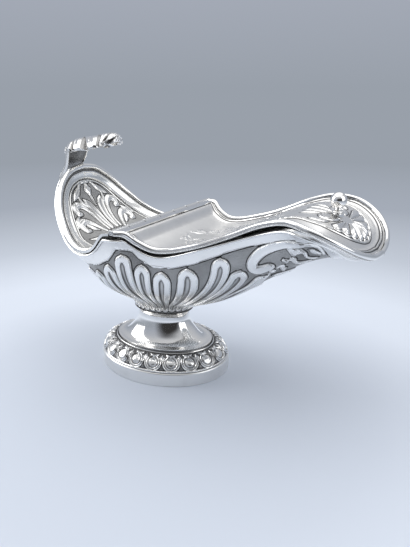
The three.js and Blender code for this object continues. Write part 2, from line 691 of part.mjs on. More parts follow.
const foot = new THREE.Group();
const footNutShape = hexNut(footNut.acrossFlats, footNut.height, footBore, 0, footNutBottom);
addPiece(foot, 'foot_rim', footRim(), satinSilver);
addPiece(foot, 'foot_frieze', footFrieze(), chasedSilver);
addPiece(foot, 'foot_stem', footStem(), polishedSilver);
addPiece(foot, 'foot_bolt', boltPiece(), wireSilver);
addPiece(foot, 'foot_washer', washerPiece(), satinSilver);
addPiece(foot, 'foot_nut', footNutShape, satinSilver);
boat.add(foot);

const handle = toGeometry(toSolid(handleLeaf()).add(toSolid(handleScroll())));
addPiece(boat, 'bowl', bowlShell(), satinSilver);
addPiece(boat, 'bowl_lip_wire', lipWire(), wireSilver);
addPiece(boat, 'leaf_handle', handle, polishedSilver);
addPiece(boat, 'rear_cover', coverSheet(coverCurve, steps.cover), chasedSilver);
addPiece(boat, 'rear_cover_wire', edgeWire(coverCurve, steps.cover, coverWireStart), wireSilver);

const lid = new THREE.Group();
const drillFrom = seat.under - drillReach;
const drillTo = seat.top + drillReach;
const lidPlate = coverSheet(lidCurve, steps.lid, lidCrown);
const lidSheet = cutHole(lidPlate, knobHole, knobX, drillFrom, drillTo);
const collarShape = taperedRing(collar.radius, collarTop, seat.top + seatGap);
const washerShape = taperedRing(knobWasher.radius, washerBottom, seat.under - seatGap);
const nutShape = hexNut(knobNut.acrossFlats, knobNut.height, knobHole, knobX, knobNutBottom);
addPiece(lid, 'lid', lidSheet, polishedSilver);
addPiece(lid, 'lid_wire', edgeWire(lidCurve, steps.lid), wireSilver);
addPiece(lid, 'lid_hinge_strip', hingeStrip(), polishedSilver);
addPiece(lid, 'knob_collar', collarShape, wireSilver);
addPiece(lid, 'knob', knobPiece(), polishedSilver);
addPiece(lid, 'knob_washer', washerShape, satinSilver);
addPiece(lid, 'knob_nut', nutShape, satinSilver);
boat.add(lid);

for (let i = 0; i < knuckle.count; i += 1) {
  const owner = i % 2 === 0 ? boat : lid;
  const tube = addPiece(owner, `hinge_knuckle_${i + 1}`, knuckleTube(), wireSilver);
  const start = i * (knuckleLength + knuckle.endGap) - hinge.halfLength;
  tube.position.set(hinge.x, start + knuckleLength / 2, hinge.z);
}
const pinShape = new THREE.CylinderGeometry(pinRadius, pinRadius, barrelLength, 12);
const pin = addPiece(boat, 'hinge_pin', pinShape, satinSilver);
pin.position.set(hinge.x, 0, hinge.z);

// The origin is under the middle of the whole boat, on the surface it stands on
boat.updateMatrixWorld(true);
const extent = new THREE.Box3().setFromObject(boat, true);
boat.position.x = -(extent.min.x + extent.max.x) / 2;
boat.updateMatrixWorld(true);

export default boat;
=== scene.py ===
# Dresses the silver incense boat: chased silver, oval foot, studio floor, light and camera.
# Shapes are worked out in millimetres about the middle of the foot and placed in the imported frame.
import json
import math

import bpy
import numpy as np
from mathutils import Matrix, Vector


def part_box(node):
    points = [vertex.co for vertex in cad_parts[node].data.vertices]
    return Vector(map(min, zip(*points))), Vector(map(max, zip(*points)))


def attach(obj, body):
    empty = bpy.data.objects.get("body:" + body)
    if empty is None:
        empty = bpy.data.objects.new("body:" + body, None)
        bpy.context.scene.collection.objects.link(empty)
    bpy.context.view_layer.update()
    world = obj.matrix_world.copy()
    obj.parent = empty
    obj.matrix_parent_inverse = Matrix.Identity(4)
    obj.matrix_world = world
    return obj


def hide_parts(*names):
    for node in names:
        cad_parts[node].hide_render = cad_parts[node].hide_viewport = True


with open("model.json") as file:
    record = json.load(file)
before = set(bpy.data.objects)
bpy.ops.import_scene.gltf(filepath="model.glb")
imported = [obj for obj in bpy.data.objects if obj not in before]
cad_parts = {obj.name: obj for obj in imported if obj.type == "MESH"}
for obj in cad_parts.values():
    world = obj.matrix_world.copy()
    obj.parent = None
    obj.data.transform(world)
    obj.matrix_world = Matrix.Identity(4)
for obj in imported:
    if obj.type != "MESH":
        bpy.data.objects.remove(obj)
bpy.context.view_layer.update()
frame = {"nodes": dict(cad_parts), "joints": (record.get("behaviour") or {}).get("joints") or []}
print("frame loaded")

mm = 0.001
footLow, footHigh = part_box("foot_rim")
middle = np.array([(footLow.x + footHigh.x) / 2, 0.0, 0.0])
scene = bpy.context.scene


def ease(x, low, high):  # smooth step from 0 at low to 1 at high
    k = np.clip((x - low) / (high - low), 0, 1)
    return k * k * (3 - 2 * k)


def blend(a, b, k):  # a at k 0, b at k 1
    return a + (b - a) * k


def unit(v):  # each vector over its own length
    return v / np.maximum(np.linalg.norm(v, axis=-1, keepdims=True), 1e-12)


def fullTurn(count):  # even angles once round
    return np.linspace(0, 2 * np.pi, count, endpoint=False)


def lengthsAlong(line):  # length of a line of straight pieces up to each of its points
    return np.concatenate([[0], np.cumsum(np.linalg.norm(np.diff(line, axis=0), axis=1))])


def curveThrough(stations, t, closed=False):
    # smooth curve through all stations, t running from 0 to 1: one cubic between each pair, with tangents
    # weighed by the square roots of the distances between the stations
    p = np.asarray(stations, float)
    t = np.atleast_1d(np.asarray(t, float))
    count = len(p)
    spans = count if closed else count - 1
    place = (t % 1.0 if closed else np.clip(t, 0, 1)) * spans
    index = np.minimum(np.floor(place).astype(int), spans - 1)
    u = (place - index)[:, None]
    if closed:
        before, after = p[(index - 1) % count], p[(index + 2) % count]
    else:
        ends = np.concatenate([[2 * p[0] - p[1]], p, [2 * p[-1] - p[-2]]])
        before, after = ends[index], ends[index + 3]
    start, end = p[index % count], p[(index + 1) % count]
    gap0, gap1, gap2 = (
        np.maximum(np.linalg.norm(b - a, axis=1) ** 0.5, 1e-4)[:, None]
        for a, b in ((before, start), (start, end), (end, after))
    )
    leave = ((start - before) / gap0 - (end - before) / (gap0 + gap1) + (end - start) / gap1) * gap1
    arrive = ((end - start) / gap1 - (after - start) / (gap1 + gap2) + (after - end) / gap2) * gap1
    square = -3 * start + 3 * end - 2 * leave - arrive
    cube = 2 * start - 2 * end + leave + arrive
    return start + leave * u + square * u**2 + cube * u**3


def gridQuads(rows, columns, roundRows=False, roundColumns=False):
    # four vertex numbers for each cell of a grid, which may run round from its last row or column
    downSteps, rightSteps = rows if roundRows else rows - 1, columns if roundColumns else columns - 1
    i, j = np.meshgrid(np.arange(downSteps), np.arange(rightSteps), indexing="ij")
    down, right = (i + 1) % rows, (j + 1) % columns
    corners = i * columns + j, i * columns + right, down * columns + right, down * columns + j
    return np.stack(corners, -1).reshape(-1, 4)


def closedBothWays(grid):  # points and quads of a grid whose rows and columns both run back to their start
    rows, columns = grid.shape[:2]
    return grid.reshape(-1, 3), gridQuads(rows, columns, True, True)


def cappedTube(grid):
    # each row is a ring, and a cap closes the first and the last
    rows, columns = grid.shape[:2]
    caps = [[*range(columns)][::-1], [*range((rows - 1) * columns, rows * columns)]]
    return grid.reshape(-1, 3), gridQuads(rows, columns, roundColumns=True), caps


def reliefMasks(edge, line, plain, axis=0):
    # attributes for the silver's shader, vertex by vertex: those of the relief, then plain metal, which lies
    # well inside a form and well off any sunk line
    parts = {"edge": (edge, 3.0), "line": (line, -3.0)}
    return {
        key: np.concatenate([np.clip(part, -3, 3), np.full(plain, far)], axis=axis)
        for key, (part, far) in parts.items()
    }


def meshFrom(name, points, quads, caps=(), masks=None, sharp=50):
    # points in mm about the foot; caps are loops of vertex numbers; faces are turned outward
    # by the sign of the volume that they enclose
    corners = [points[quads[:, i]] for i in range(4)]
    volume = sum(np.einsum("ij,ij->", corners[0], np.cross(corners[i], corners[i + 1])) for i in (1, 2))
    loops = [quads, *[np.asarray(cap)[None] for cap in caps]]
    if volume < 0:
        loops = [loop[:, ::-1] for loop in loops]
    sizes = np.concatenate([np.full(len(loop), loop.shape[1]) for loop in loops])
    mesh = bpy.data.meshes.new(name)
    mesh.vertices.add(len(points))
    mesh.loops.add(int(sizes.sum()))
    mesh.polygons.add(len(sizes))
    mesh.vertices.foreach_set("co", (points * mm + middle).ravel())
    mesh.loops.foreach_set("vertex_index", np.concatenate([loop.ravel() for loop in loops]).astype(np.int32))
    mesh.polygons.foreach_set("loop_start", np.concatenate([[0], np.cumsum(sizes)[:-1]]).astype(np.int32))
    for key, values in (masks or {}).items():
        attribute = mesh.attributes.new(key, "FLOAT", "POINT")
        attribute.data.foreach_set("value", np.asarray(values, np.float32).ravel())
    mesh.update(calc_edges=True)
    mesh.validate()
    mesh.shade_smooth()
    mesh.set_sharp_from_angle(angle=math.radians(sharp))
    return mesh


def addPiece(name, shape, kind, replaced, body="boat", masks=None, sharp=50):
    # shape holds points and quads, and caps if there are any; kind is one of the finishes
    mesh = meshFrom(name, *shape, masks=masks, sharp=sharp)
    mesh.materials.append(silvers[kind])
    piece = bpy.data.objects.new(name, mesh)
    scene.collection.objects.link(piece)
    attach(piece, body)
    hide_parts(*replaced)


lidBody = next(j["child"] for j in frame["joints"] if j["name"] == "lid_hinge")

# Camera: at the photograph's angle, level, its lens from the frame's height
view = {"azimuth": 29.628, "elevation": 18.710, "place": (157.048, -230.957, 144.839), "lens": 36.2}
turn, tilt = math.radians(view["azimuth"]), math.radians(view["elevation"])
camera = bpy.data.objects.new("camera", bpy.data.cameras.new("camera"))
scene.collection.objects.link(camera)
camera.data.lens = view["lens"]
camera.data.sensor_width = 36
camera.data.clip_start, camera.data.clip_end = 0.01, 10
camera.location = np.array(view["place"]) * mm + middle
camera.rotation_euler = (math.pi / 2 - tilt, 0, turn)
scene.camera = camera


class Shade:
    # wraps a socket of a material: arithmetic on it adds Math nodes, numbers alone stay in Python
    def __init__(self, tree, socket=None):
        self.tree, self.socket = tree, socket

    def node(self, kind, sockets=None, output=0, **settings):
        made = self.tree.nodes.new(kind)
        stops = settings.pop("stops", None)
        for key, setting in settings.items():
            setattr(made, key, setting)
        if stops:
            ramp = made.color_ramp.elements
            while len(ramp) < len(stops):
                ramp.new(0.5)
            for element, (position, colour) in zip(ramp, stops):
                element.position, element.color = position, colour
        for key, given in (sockets or {}).items():
            if isinstance(given, Shade):
                self.tree.links.new(given.socket, made.inputs[key])
            else:
                made.inputs[key].default_value = given
        return Shade(self.tree, made.outputs[output] if made.outputs else None)

    def math(self, operation, *values):
        return self.node("ShaderNodeMath", dict(enumerate(values)), operation=operation)

    def __add__(self, other):
        return self.math("ADD", self, other)

    def __sub__(self, other):
        return self.math("SUBTRACT", self, other)

    def __rsub__(self, other):
        return self.math("SUBTRACT", other, self)

    def __mul__(self, other):
        return self.math("MULTIPLY", self, other)

    __radd__ = __add__
    __rmul__ = __mul__

    def above(self, other):
        return self.math("MAXIMUM", self, other)

    def ridge(self, centre, width):  # 1 at centre, falling to 0 past width on either side
        away = (self - centre) * (1 / width)
        return self.math("EXPONENT", away * away * -1)

    def between(self, low, high):  # 0 at low, 1 at high, eased
        sockets = {"Value": self, "From Min": low, "From Max": high}
        return self.node("ShaderNodeMapRange", sockets, interpolation_type="SMOOTHSTEP")

    def colour(self, dark, light):  # mixes two colours by this value
        return self.node("ShaderNodeMix", {0: self, 6: dark, 7: light}, output=2, data_type="RGBA")


def newMaterial(name):  # an empty material, and the shade that adds nodes to it
    material = bpy.data.materials.new(name)
    material.use_nodes = True
    tree = material.node_tree
    tree.nodes.clear()
    return material, Shade(tree)


def setOutput(shade, shader):
    shade.node("ShaderNodeOutputMaterial", {"Surface": shader})


# Finishes of the silver: colour, roughness, and the reach in mm of the slow waviness in the metal
finishes = {
    "polished": ((0.93, 0.92, 0.90, 1), 0.10, 0.05),
    "satin": ((0.88, 0.875, 0.86, 1), 0.34, 0.05),
    "wire": ((0.95, 0.945, 0.93, 1), 0.11, 0.03),
    "bowl": ((0.97, 0.965, 0.95, 1), 0.32, 0.05),
    "cover": ((0.92, 0.915, 0.895, 1), 0.16, 0.05),
    "lid": ((0.93, 0.92, 0.90, 1), 0.12, 0.07),
    "frieze": ((0.87, 0.865, 0.85, 1), 0.16, 0.04),
    "leaf": ((0.95, 0.94, 0.925, 1), 0.16, 0.05),
    # the strap's darker colour is painted shade, for the leaf's shadow that it sits in
    "shadedStrap": ((0.80, 0.79, 0.77, 1), 0.24, 0.06),
}
# Chased ones too: how dark the matted ground, the foot of each raised form (painted shade) and the hollow
# cores are, and the depth of the punches in mm
chased = {
    "bowl": (0.56, 0.97, 0.72, 0.25),
    "cover": (0.52, 0.97, 0.42, 0.06),
    "lid": (0.16, 0.95, 0.5, 0.01),
    "frieze": (0.66, 0.96, 0.4, 0.06),
    "leaf": (0.58, 0.45, 0.4, 0.03),
    "shadedStrap": (0.66, 0.5, 0.3, 0.05),
}
# dark colour for tarnish, and for the painted shade at the foot of the chased forms
tarnishAndShadeColour = (0.028, 0.026, 0.025, 1)


def silver(kind):
    # metal with fine scratches and a slow waviness from hand work; on chased pieces the attributes edge
    # and line hold how far a place lies inside a raised form and inside a sunk line, in mm, and its colour
    # falls to tarnish on the matted ground and in the sunk lines, and to painted shade at the foot of the
    # forms
    colour, roughness, waviness = finishes[kind]
    material, shade = newMaterial(kind + "Silver")
    place = shade.node("ShaderNodeTexCoord", output=3)
    stretched = shade.node("ShaderNodeMapping", {"Vector": place, "Scale": (900, 5200, 2600)})
    cloud, wave, grain, scratch = (
        shade.node("ShaderNodeTexNoise", {"Vector": at, "Scale": scale, "Detail": detail})
        for at, scale, detail in ((place, 90, 4), (place, 130, 1), (place, 2600, 2), (stretched, 1, 3))
    )
    dark = cloud.between(0.48, 0.74) * 0.16 + grain.between(0.5, 0.8) * (0.3 * roughness)
    height = wave * (waviness * mm) + scratch * (0.002 * mm) + grain * (0.01 * roughness * mm)
    rough = cloud * 0.08 + scratch * 0.05 + (roughness - 0.06)
    if kind in chased:
        groundDark, footDark, coreDark, punchDepth = chased[kind]
        edge = shade.node("ShaderNodeAttribute", output=2, attribute_name="edge")
        line = shade.node("ShaderNodeAttribute", output=2, attribute_name="line")
        punches = shade.node("ShaderNodeTexVoronoi", {"Vector": place, "Scale": 1300}, feature="F1")
        ground = 1 - edge.between(-0.12, 0.12)
        # painted shade: a dark line in the crease at the foot of each raised form
        footShade = edge.ridge(-0.42, 0.34)
        core = line.between(-0.05, 0.3) * (1 - line.between(0.45, 1.3) * 0.45)
        # lighter colour along the raised edges and beside the sunk lines: rubbed wear and a painted highlight
        bright = edge.ridge(0.42, 0.22).above(line.ridge(-0.3, 0.2))
        dark = dark.above(ground * (groundDark + cloud * 0.3 - 0.15)).above(footShade * footDark)
        dark = dark.above(core * (coreDark + cloud * 0.4 - 0.2)) - bright * 0.25
        height = height + ground * punches * (punchDepth * mm) + bright * (0.1 * mm) - footShade * (0.1 * mm)
        rough = rough + ground * 0.2 + core * 0.06 - bright * 0.1
    paint = dark.between(0, 1).colour(colour, tarnishAndShadeColour)
    bump = shade.node("ShaderNodeBump", {"Height": height, "Distance": 1.0, "Strength": 1.0})
    sockets = {"Base Color": paint, "Metallic": 1.0, "Roughness": rough, "Normal": bump}
    setOutput(shade, shade.node("ShaderNodeBsdfPrincipled", sockets))
    return material


silvers = {kind: silver(kind) for kind in finishes}
print("silver mixed")


# Relief: every chased form has an inside distance in mm, above 0 inside it, and layers in a dictionary turn
# these into heights; a layer adds up steps of form, height in mm, and the distances where it starts and ends
def reliefHeight(insides, layers):  # the highest of the layers
    return np.max([
        sum(height * ease(insides[form], low, high) for form, height, low, high in layer) for layer in layers
    ], axis=0)


def alongLine(points, line):
    # distance to a line of straight pieces, and the length along the line up to the nearest place
    best, along, passed = np.full(len(points), 1e9), np.zeros(len(points)), 0.0
    for a, b in zip(line, line[1:]):
        step, size = b - a, max(float(np.linalg.norm(b - a)), 1e-9)
        k = np.clip((points - a) @ step / size**2, 0, 1)
        gap = np.linalg.norm(points - a - k[:, None] * step, axis=1)
        closer = gap < best
        best, along = np.where(closer, gap, best), np.where(closer, passed + k * size, along)
        passed += size
    return best, along


def strokeInside(points, line, halves, reach=4.0):
    # how far points lie inside a stroke: its half width less the distance to its line, over the slope
    # of its sides; negative outside
    inside = np.full(len(points), -reach)
    margin = reach + np.max(halves)
    near = np.all((points > line.min(0) - margin) & (points < line.max(0) + margin), axis=1)
    gap, along = alongLine(points[near], line)
    lengths = lengthsAlong(line)
    lengths = lengths + np.arange(len(lengths)) * 1e-9
    half = np.interp(along, lengths, halves)
    slope = np.interp(along, lengths, np.gradient(halves, lengths))
    slope = np.where((along > 0) & (along < lengths[-1]), np.clip(slope, -1.5, 1.5), 0)
    inside[near] = np.maximum((half - gap) / np.hypot(1, slope), -reach)
    return inside


# Oval foot: band, frieze and pedestal as in the source, on finer profiles; lengths in mm
foot = {
    "halfWidth": 29.5, "stretch": 7.5, "neckHalf": 11.5, "neckStretch": 3.75, "flare": 1.6, "gap": 0.3,
    "bandHeight": 7.3, "bandWall": 2.2, "bandRound": 0.45, "bevel": 0.5,
    "band": [(0.2, 0.0), (0, 0.5), (0, 6.7), (0.5, 7.3)],  # way in from the face, and height
    "friezeTop": 15.2, "friezeWidth": 9.6, "flangeLap": 0.4, "waist": 27.5, "neck": 33.0, "stemWall": 1.2,
    "bore": 2.2,
    "stem": [  # half width and height, from above the flange to the neck
        (19.5, 16.2), (18.0, 16.1), (16.0, 16.7), (14.2, 18.6), (12.8, 21.4), (11.7, 24.8), (11.0, 28.4),
        (11.6, 31.3), (13.1, 33.0),
    ],
}


def stretchAt(z):  # how much longer than wide the oval's half is at a height
    return blend(foot["stretch"], foot["neckStretch"], ease(z, foot["friezeTop"], foot["waist"]))


def ovalSurface(profile, columns):
    # carries a profile of (half width, height) round the oval: its length exceeds its width by a
    # stretch that fades up the pedestal
    angle = fullTurn(columns)
    r, z = np.asarray(profile, float).T
    x = (r + stretchAt(z))[:, None] * np.cos(angle)
    y = r[:, None] * np.sin(angle)
    return np.stack([x, y, np.broadcast_to(z[:, None], x.shape)], -1)


def roundedLine(corners, radius, steps=5):
    # replaces each inner corner of a line by a quadratic arc that starts and ends radius away from it,
    # or a little under half of the way to the next corner
    corners = np.asarray(corners, float)
    k = np.linspace(0, 1, steps)[:, None]
    parts = [corners[:1]]
    for a, b, c in zip(corners, corners[1:], corners[2:]):
        reach = min(radius, np.linalg.norm(b - a) / 2.2, np.linalg.norm(c - b) / 2.2)
        start, end = b + unit(a - b) * reach, b + unit(c - b) * reach
        parts.append((1 - k) ** 2 * start + 2 * k * (1 - k) * b + k**2 * end)
    parts.append(corners[-1:])
    return np.concatenate(parts)


face, friezeLow = foot["halfWidth"], foot["bandHeight"] + foot["gap"]


def bandProfile():
    # out along the foot, up the face with its bevels, and back in to the plain inner face
    inner = face - foot["bandWall"]
    outside = [(face - inset, height) for inset, height in foot["band"]]
    return roundedLine([(inner, 0), *outside, (inner, foot["bandHeight"])], foot["bandRound"])


def pedestalProfile():
    # the flange, the outer curve, the top plate with its bore, and the inner face one wall further in
    flange = face - foot["friezeWidth"] + foot["flangeLap"]
    base, wall, bore = foot["friezeTop"] + foot["gap"], foot["stemWall"], foot["bore"]
    plate = foot["neck"] - wall
    outer = curveThrough([(flange, base + 0.5), *foot["stem"]], np.linspace(0, 1, 72))
    inner = (outer - [wall, 0.4])[::-1]
    inner[:, 1] = np.clip(inner[:, 1], base + 0.1, plate)
    lowEdge, top = [[flange - 0.25, base], [flange, base + 0.25]], [[bore, foot["neck"]], [bore, plate]]
    return np.concatenate([lowEdge, outer, top, inner[::4], [[flange - wall, base]]])


def friezeLine(k):
    # quarter round from the band's ledge up to the pedestal's flange
    start, reach = face - foot["bevel"], foot["friezeWidth"] - foot["bevel"]
    angle = k * np.pi / 2
    return np.stack([
        start - reach * (1 - np.cos(angle)), friezeLow + (foot["friezeTop"] - friezeLow) * np.sin(angle),
    ], -1)


# Eggs: each a dome in two rings, with a leaf between it and the next; sizes in mm on the metal
egg = {
    "count": 20, "columns": 1100, "rows": 60,
    "centre": 5.4, "across": 2.45, "along": 2.7, "dome": 0.55, "sink": 0.4,
    "ring": (3.5, 0.34), "outerRing": (4.5, 0.26),  # reach from the egg's middle, half width
    "outerTop": 2.5,  # how far above the egg's middle the outer ring goes
    "threads": [(12.0, 0.3), (0.3, 0.55)],  # height up the quarter round, half width
    "leaf": [(0, 6.0, 0.2), (0, 8.2, 1.0), (0, 10.2, 0.1)],  # way off its middle, height, half width
    "crownLeaf": [(0, 9.0, 0.7), (1.6, 9.6, 0.8), (2.9, 10.6, 0.1)],
    "layers": [
        [("ring", 0.45, -0.2, 0.3)], [("outer", 0.35, -0.2, 0.25)], [("leaf", 0.5, -0.1, 0.8)],
        [("crownLeaf", 0.5, -0.1, 0.7)], [("threads", 0.5, -0.2, 0.2)],
    ],
}


def eggsAndLeaves(around, up, pitch):
    # around is the length round the oval from the middle of an egg, up the length up the quarter round
    points = np.stack([np.abs(around), up], -1)
    out = np.hypot(points[:, 0] / egg["across"], (up - egg["centre"]) / egg["along"])
    scale = (egg["across"] + egg["along"]) / 2
    dome = (1 - out) * scale
    ring, outer = (half - np.abs(out * scale - reach) for reach, half in (egg["ring"], egg["outerRing"]))
    outer = np.where(up < egg["centre"] + egg["outerTop"], outer, -3)
    leafRows, crownRows = np.array(egg["leaf"]) + [pitch / 2, 0, 0], np.array(egg["crownLeaf"])
    leaf, crownLeaf = (strokeInside(points, rows[:, :2], rows[:, 2]) for rows in (leafRows, crownRows))
    threads = np.max([half - np.abs(up - place) for place, half in egg["threads"]], axis=0)
    forms = {"ring": ring, "outer": outer, "leaf": leaf, "crownLeaf": crownLeaf, "threads": threads}
    domed = egg["dome"] * np.sqrt(np.clip(1 - np.minimum(out, 1) ** 2, 0, 1))
    height = np.maximum(domed, reliefHeight(forms, egg["layers"]))
    return height - egg["sink"], np.max([dome, *forms.values()], axis=0)


def makeFrieze():
    # the quarter round carried round the oval, moved out by the height of its relief; the pitch of the
    # eggs is measured round the ring at their middle
    rows, columns, middleRow = egg["rows"], egg["columns"], 24
    profile, back = friezeLine(np.linspace(0, 1, rows)), friezeLine(np.linspace(1, 0, 8)) - [1.5, 1.1]
    back[:, 1] = np.maximum(back[:, 1], friezeLow)
    surface = ovalSurface(profile, columns)
    steps = np.linalg.norm(np.roll(surface[middleRow], -1, 0) - surface[middleRow], axis=1)
    roundLength = np.concatenate([[0], np.cumsum(steps)[:-1]])
    pitch = steps.sum() / egg["count"]
    around = (roundLength + pitch / 2) % pitch - pitch / 2
    up = lengthsAlong(profile)
    relief = eggsAndLeaves(np.tile(around, rows), np.repeat(up, columns), pitch)
    height, edge = (part.reshape(rows, columns) for part in relief)
    height[0], height[-1] = 0, 0
    slope = unit(np.gradient(profile, axis=0))
    angle = fullTurn(columns)
    level = np.broadcast_to(-slope[:, :1], (rows, columns))
    outward = np.stack([slope[:, 1:] * np.cos(angle), slope[:, 1:] * np.sin(angle), level], -1)
    rings = np.concatenate([surface + outward * height[..., None], ovalSurface(back, columns)])
    masks = reliefMasks(edge, np.full_like(edge, -3), (len(back), columns))
    addPiece("frieze", closedBothWays(rings), "frieze", ["foot_frieze"], masks=masks)


bandRings, pedestalRings = ovalSurface(bandProfile(), 180), ovalSurface(pedestalProfile(), 160)
addPiece("footBand", closedBothWays(bandRings), "satin", ["foot_rim"])
addPiece("pedestal", closedBothWays(pedestalRings), "polished", ["foot_stem"])
makeFrieze()
print("foot made")

# Edge lines of the two covers, from the hinge to the tips: share of the reach, share of the width at the
# hinge, and height above the hinge
hinge = {
    "x": 2.4, "z": 83.0, "half": 44.6, "outer": 1.2, "bore": 0.72, "bevel": 0.12, "gap": 0.4, "count": 7,
    "coverReach": 53.3, "lidReach": 110.2,
}


def edgeLine(reach, stations):
    # stations turned into places; the first stands clear of the hinge's tube
    share, width, rise = np.array(stations, float).T
    share[0] = (hinge["outer"] + foot["gap"]) / abs(reach)
    half = hinge["half"] + foot["gap"]
    return np.stack([hinge["x"] + share * reach, width * half, hinge["z"] + rise], -1)


coverEdge = edgeLine(-hinge["coverReach"], [
    (0, 1, 0.5), (0.1088, 0.993, -0.5), (0.1651, 0.984, -3.2), (0.2214, 0.976, -6.8), (0.2927, 0.964, -9.7),
    (0.4165, 0.938, -10.7), (0.561, 0.878, -8.7), (0.7017, 0.782, -4), (0.8574, 0.644, 5),
    (0.9568, 0.454, 14.6), (0.9925, 0.24, 20.7), (1, 0, 22.6),
])
lidEdge = edgeLine(hinge["lidReach"], [
    (0, 1, 0.7), (0.0544, 0.971, 0.5), (0.0998, 0.911, -3.2), (0.1597, 0.864, -6), (0.2278, 0.84, -5.7),
    (0.3639, 0.808, -1.5), (0.4773, 0.746, 3.4), (0.6044, 0.715, 9.6), (0.7087, 0.762, 12.5),
    (0.8103, 0.822, 10.8), (0.902, 0.744, 6), (0.9655, 0.557, 0.3), (0.9946, 0.29, -4.1), (1, 0, -6),
])
sheet = {
    "drop": 1.08, "plate": 0.8, "depth": 1.6, "flat": 3.2, "cove": 4.6, "sinkFrom": (5.4, 11.4),
    "groove": 3.4, "grooveHalf": 0.75, "grooveDepth": 0.3,
    "crown": 1.5, "crownSlope": 10, "crownReach": (0.3, 0.6),
    "wireWidth": 2.8, "wireHeight": 1.3, "wireFoot": 0.6,
}


def sheetNormal(edge, t):
    # direction square to the sheet: across the chord of the edge line a little before and after
    span = 0.012
    centre = np.minimum(t, 1 - 2 * span)
    a = curveThrough(edge, np.maximum(centre - span, 0))
    b = curveThrough(edge, np.minimum(t, 1 - 2 * span) + span)
    normal = unit(np.stack([-(b - a)[:, 2], 0 * t, (b - a)[:, 0]], -1))
    return normal * np.where(normal[:, 2:] < 0, -1, 1)


def sheetLayout(edge, rows, columns):
    # rows run along the sheet and columns across it; the second array is the sheet unrolled flat,
    # where the first number is the length along its bend and the second the place across
    t = np.minimum(0.996, 1 - (1 - np.linspace(0, 1, rows)) ** 1.35)
    line = curveThrough(edge, t)
    normal = sheetNormal(edge, t)
    along = lengthsAlong(line[:, [0, 2]])
    across = np.linspace(-1, 1, columns)
    y = line[:, 1:2] * across
    points = np.stack([np.broadcast_to(line[:, :1], y.shape), y, np.broadcast_to(line[:, 2:], y.shape)], -1)
    flat = np.stack([np.broadcast_to(along[:, None], y.shape), y], -1)
    outline = np.stack([along, line[:, 1]], -1)
    return points, normal[:, None], flat, outline


def flatStroke(stations, points, steps=26):
    # inside distance of a curved stroke on an unrolled sheet, from stations of length, place and half width
    rows = curveThrough(stations, np.linspace(0, 1, steps))
    return strokeInside(points, rows[:, :2], np.maximum(rows[:, 2], 0.02))


def manyStrokes(strokes, points, steps=26):  # inside distance of the nearest of several strokes
    return np.max([flatStroke(stroke, points, steps) for stroke in strokes], axis=0)


def chasedSheet(edge, rows, columns, chasing, crown=0):
    # the sheet's field is sunk inside its flat rim and cove; both halves carry the same chasing
    points, normal, flat, outline = sheetLayout(edge, rows, columns)
    half = columns // 2
    mirrored = np.abs(np.arange(columns) - half)
    folded = flat[:, half:].reshape(-1, 2)
    rim = np.concatenate([outline[:: max(1, rows // 120)], outline[-1:] * [1, 0]])
    inward = alongLine(folded, rim)[0]
    share = np.abs(points[:, half:, 0].ravel() - hinge["x"]) / hinge["lidReach"]
    field = sheet["flat"] + sheet["cove"]
    sink = sheet["depth"] * ease(inward, sheet["flat"], field) * ease(folded[:, 0], *sheet["sinkFrom"])
    sink = sink - crown * ease(share, *sheet["crownReach"]) * ease(inward, field, field + sheet["crownSlope"])
    height, edge, line = chasing(folded, inward)
    groove = np.abs(inward - sheet["groove"]) - sheet["grooveHalf"]
    height = height - sheet["grooveDepth"] * (1 - ease(groove, -0.7, 0.1))
    relief = sink, height, np.minimum(edge, groove), line
    sink, height, edge, line = (part.reshape(rows, half + 1)[:, mirrored] for part in relief)
    top = points - normal * (sheet["drop"] + sink - height)[..., None]
    under = points[:, ::8] - normal * (sheet["drop"] + sheet["plate"] + sink[:, ::8])[..., None]
    return sheetShape(top, under), reliefMasks(edge.ravel(), line.ravel(), rows * under.shape[1])


def sheetShape(top, under):
    # a fine grid on top and a coarse one under it, joined by a strip down each side and a cap at each end
    rows, columns = top.shape[:2]
    few = under.shape[1]
    first = rows * columns
    quads = [gridQuads(rows, columns), gridQuads(rows, few)[:, ::-1] + first]
    i = np.arange(rows - 1)
    left, leftUnder = i * columns, first + i * few
    quads.append(np.stack([left, left + columns, leftUnder + few, leftUnder], -1))
    right, rightUnder = left + columns - 1, leftUnder + few - 1
    quads.append(np.stack([right + columns, right, rightUnder, rightUnder + few], -1))
    hingeEnd = [*range(columns), *range(first + few - 1, first - 1, -1)]
    low, lowUnder = (rows - 1) * columns, first + (rows - 1) * few
    tipEnd = [*range(low + columns - 1, low - 1, -1), *range(lowUnder, lowUnder + few)]
    points = np.concatenate([top.reshape(-1, 3), under.reshape(-1, 3)])
    return points, np.concatenate(quads), [hingeEnd[::-1], tipEnd[::-1]]


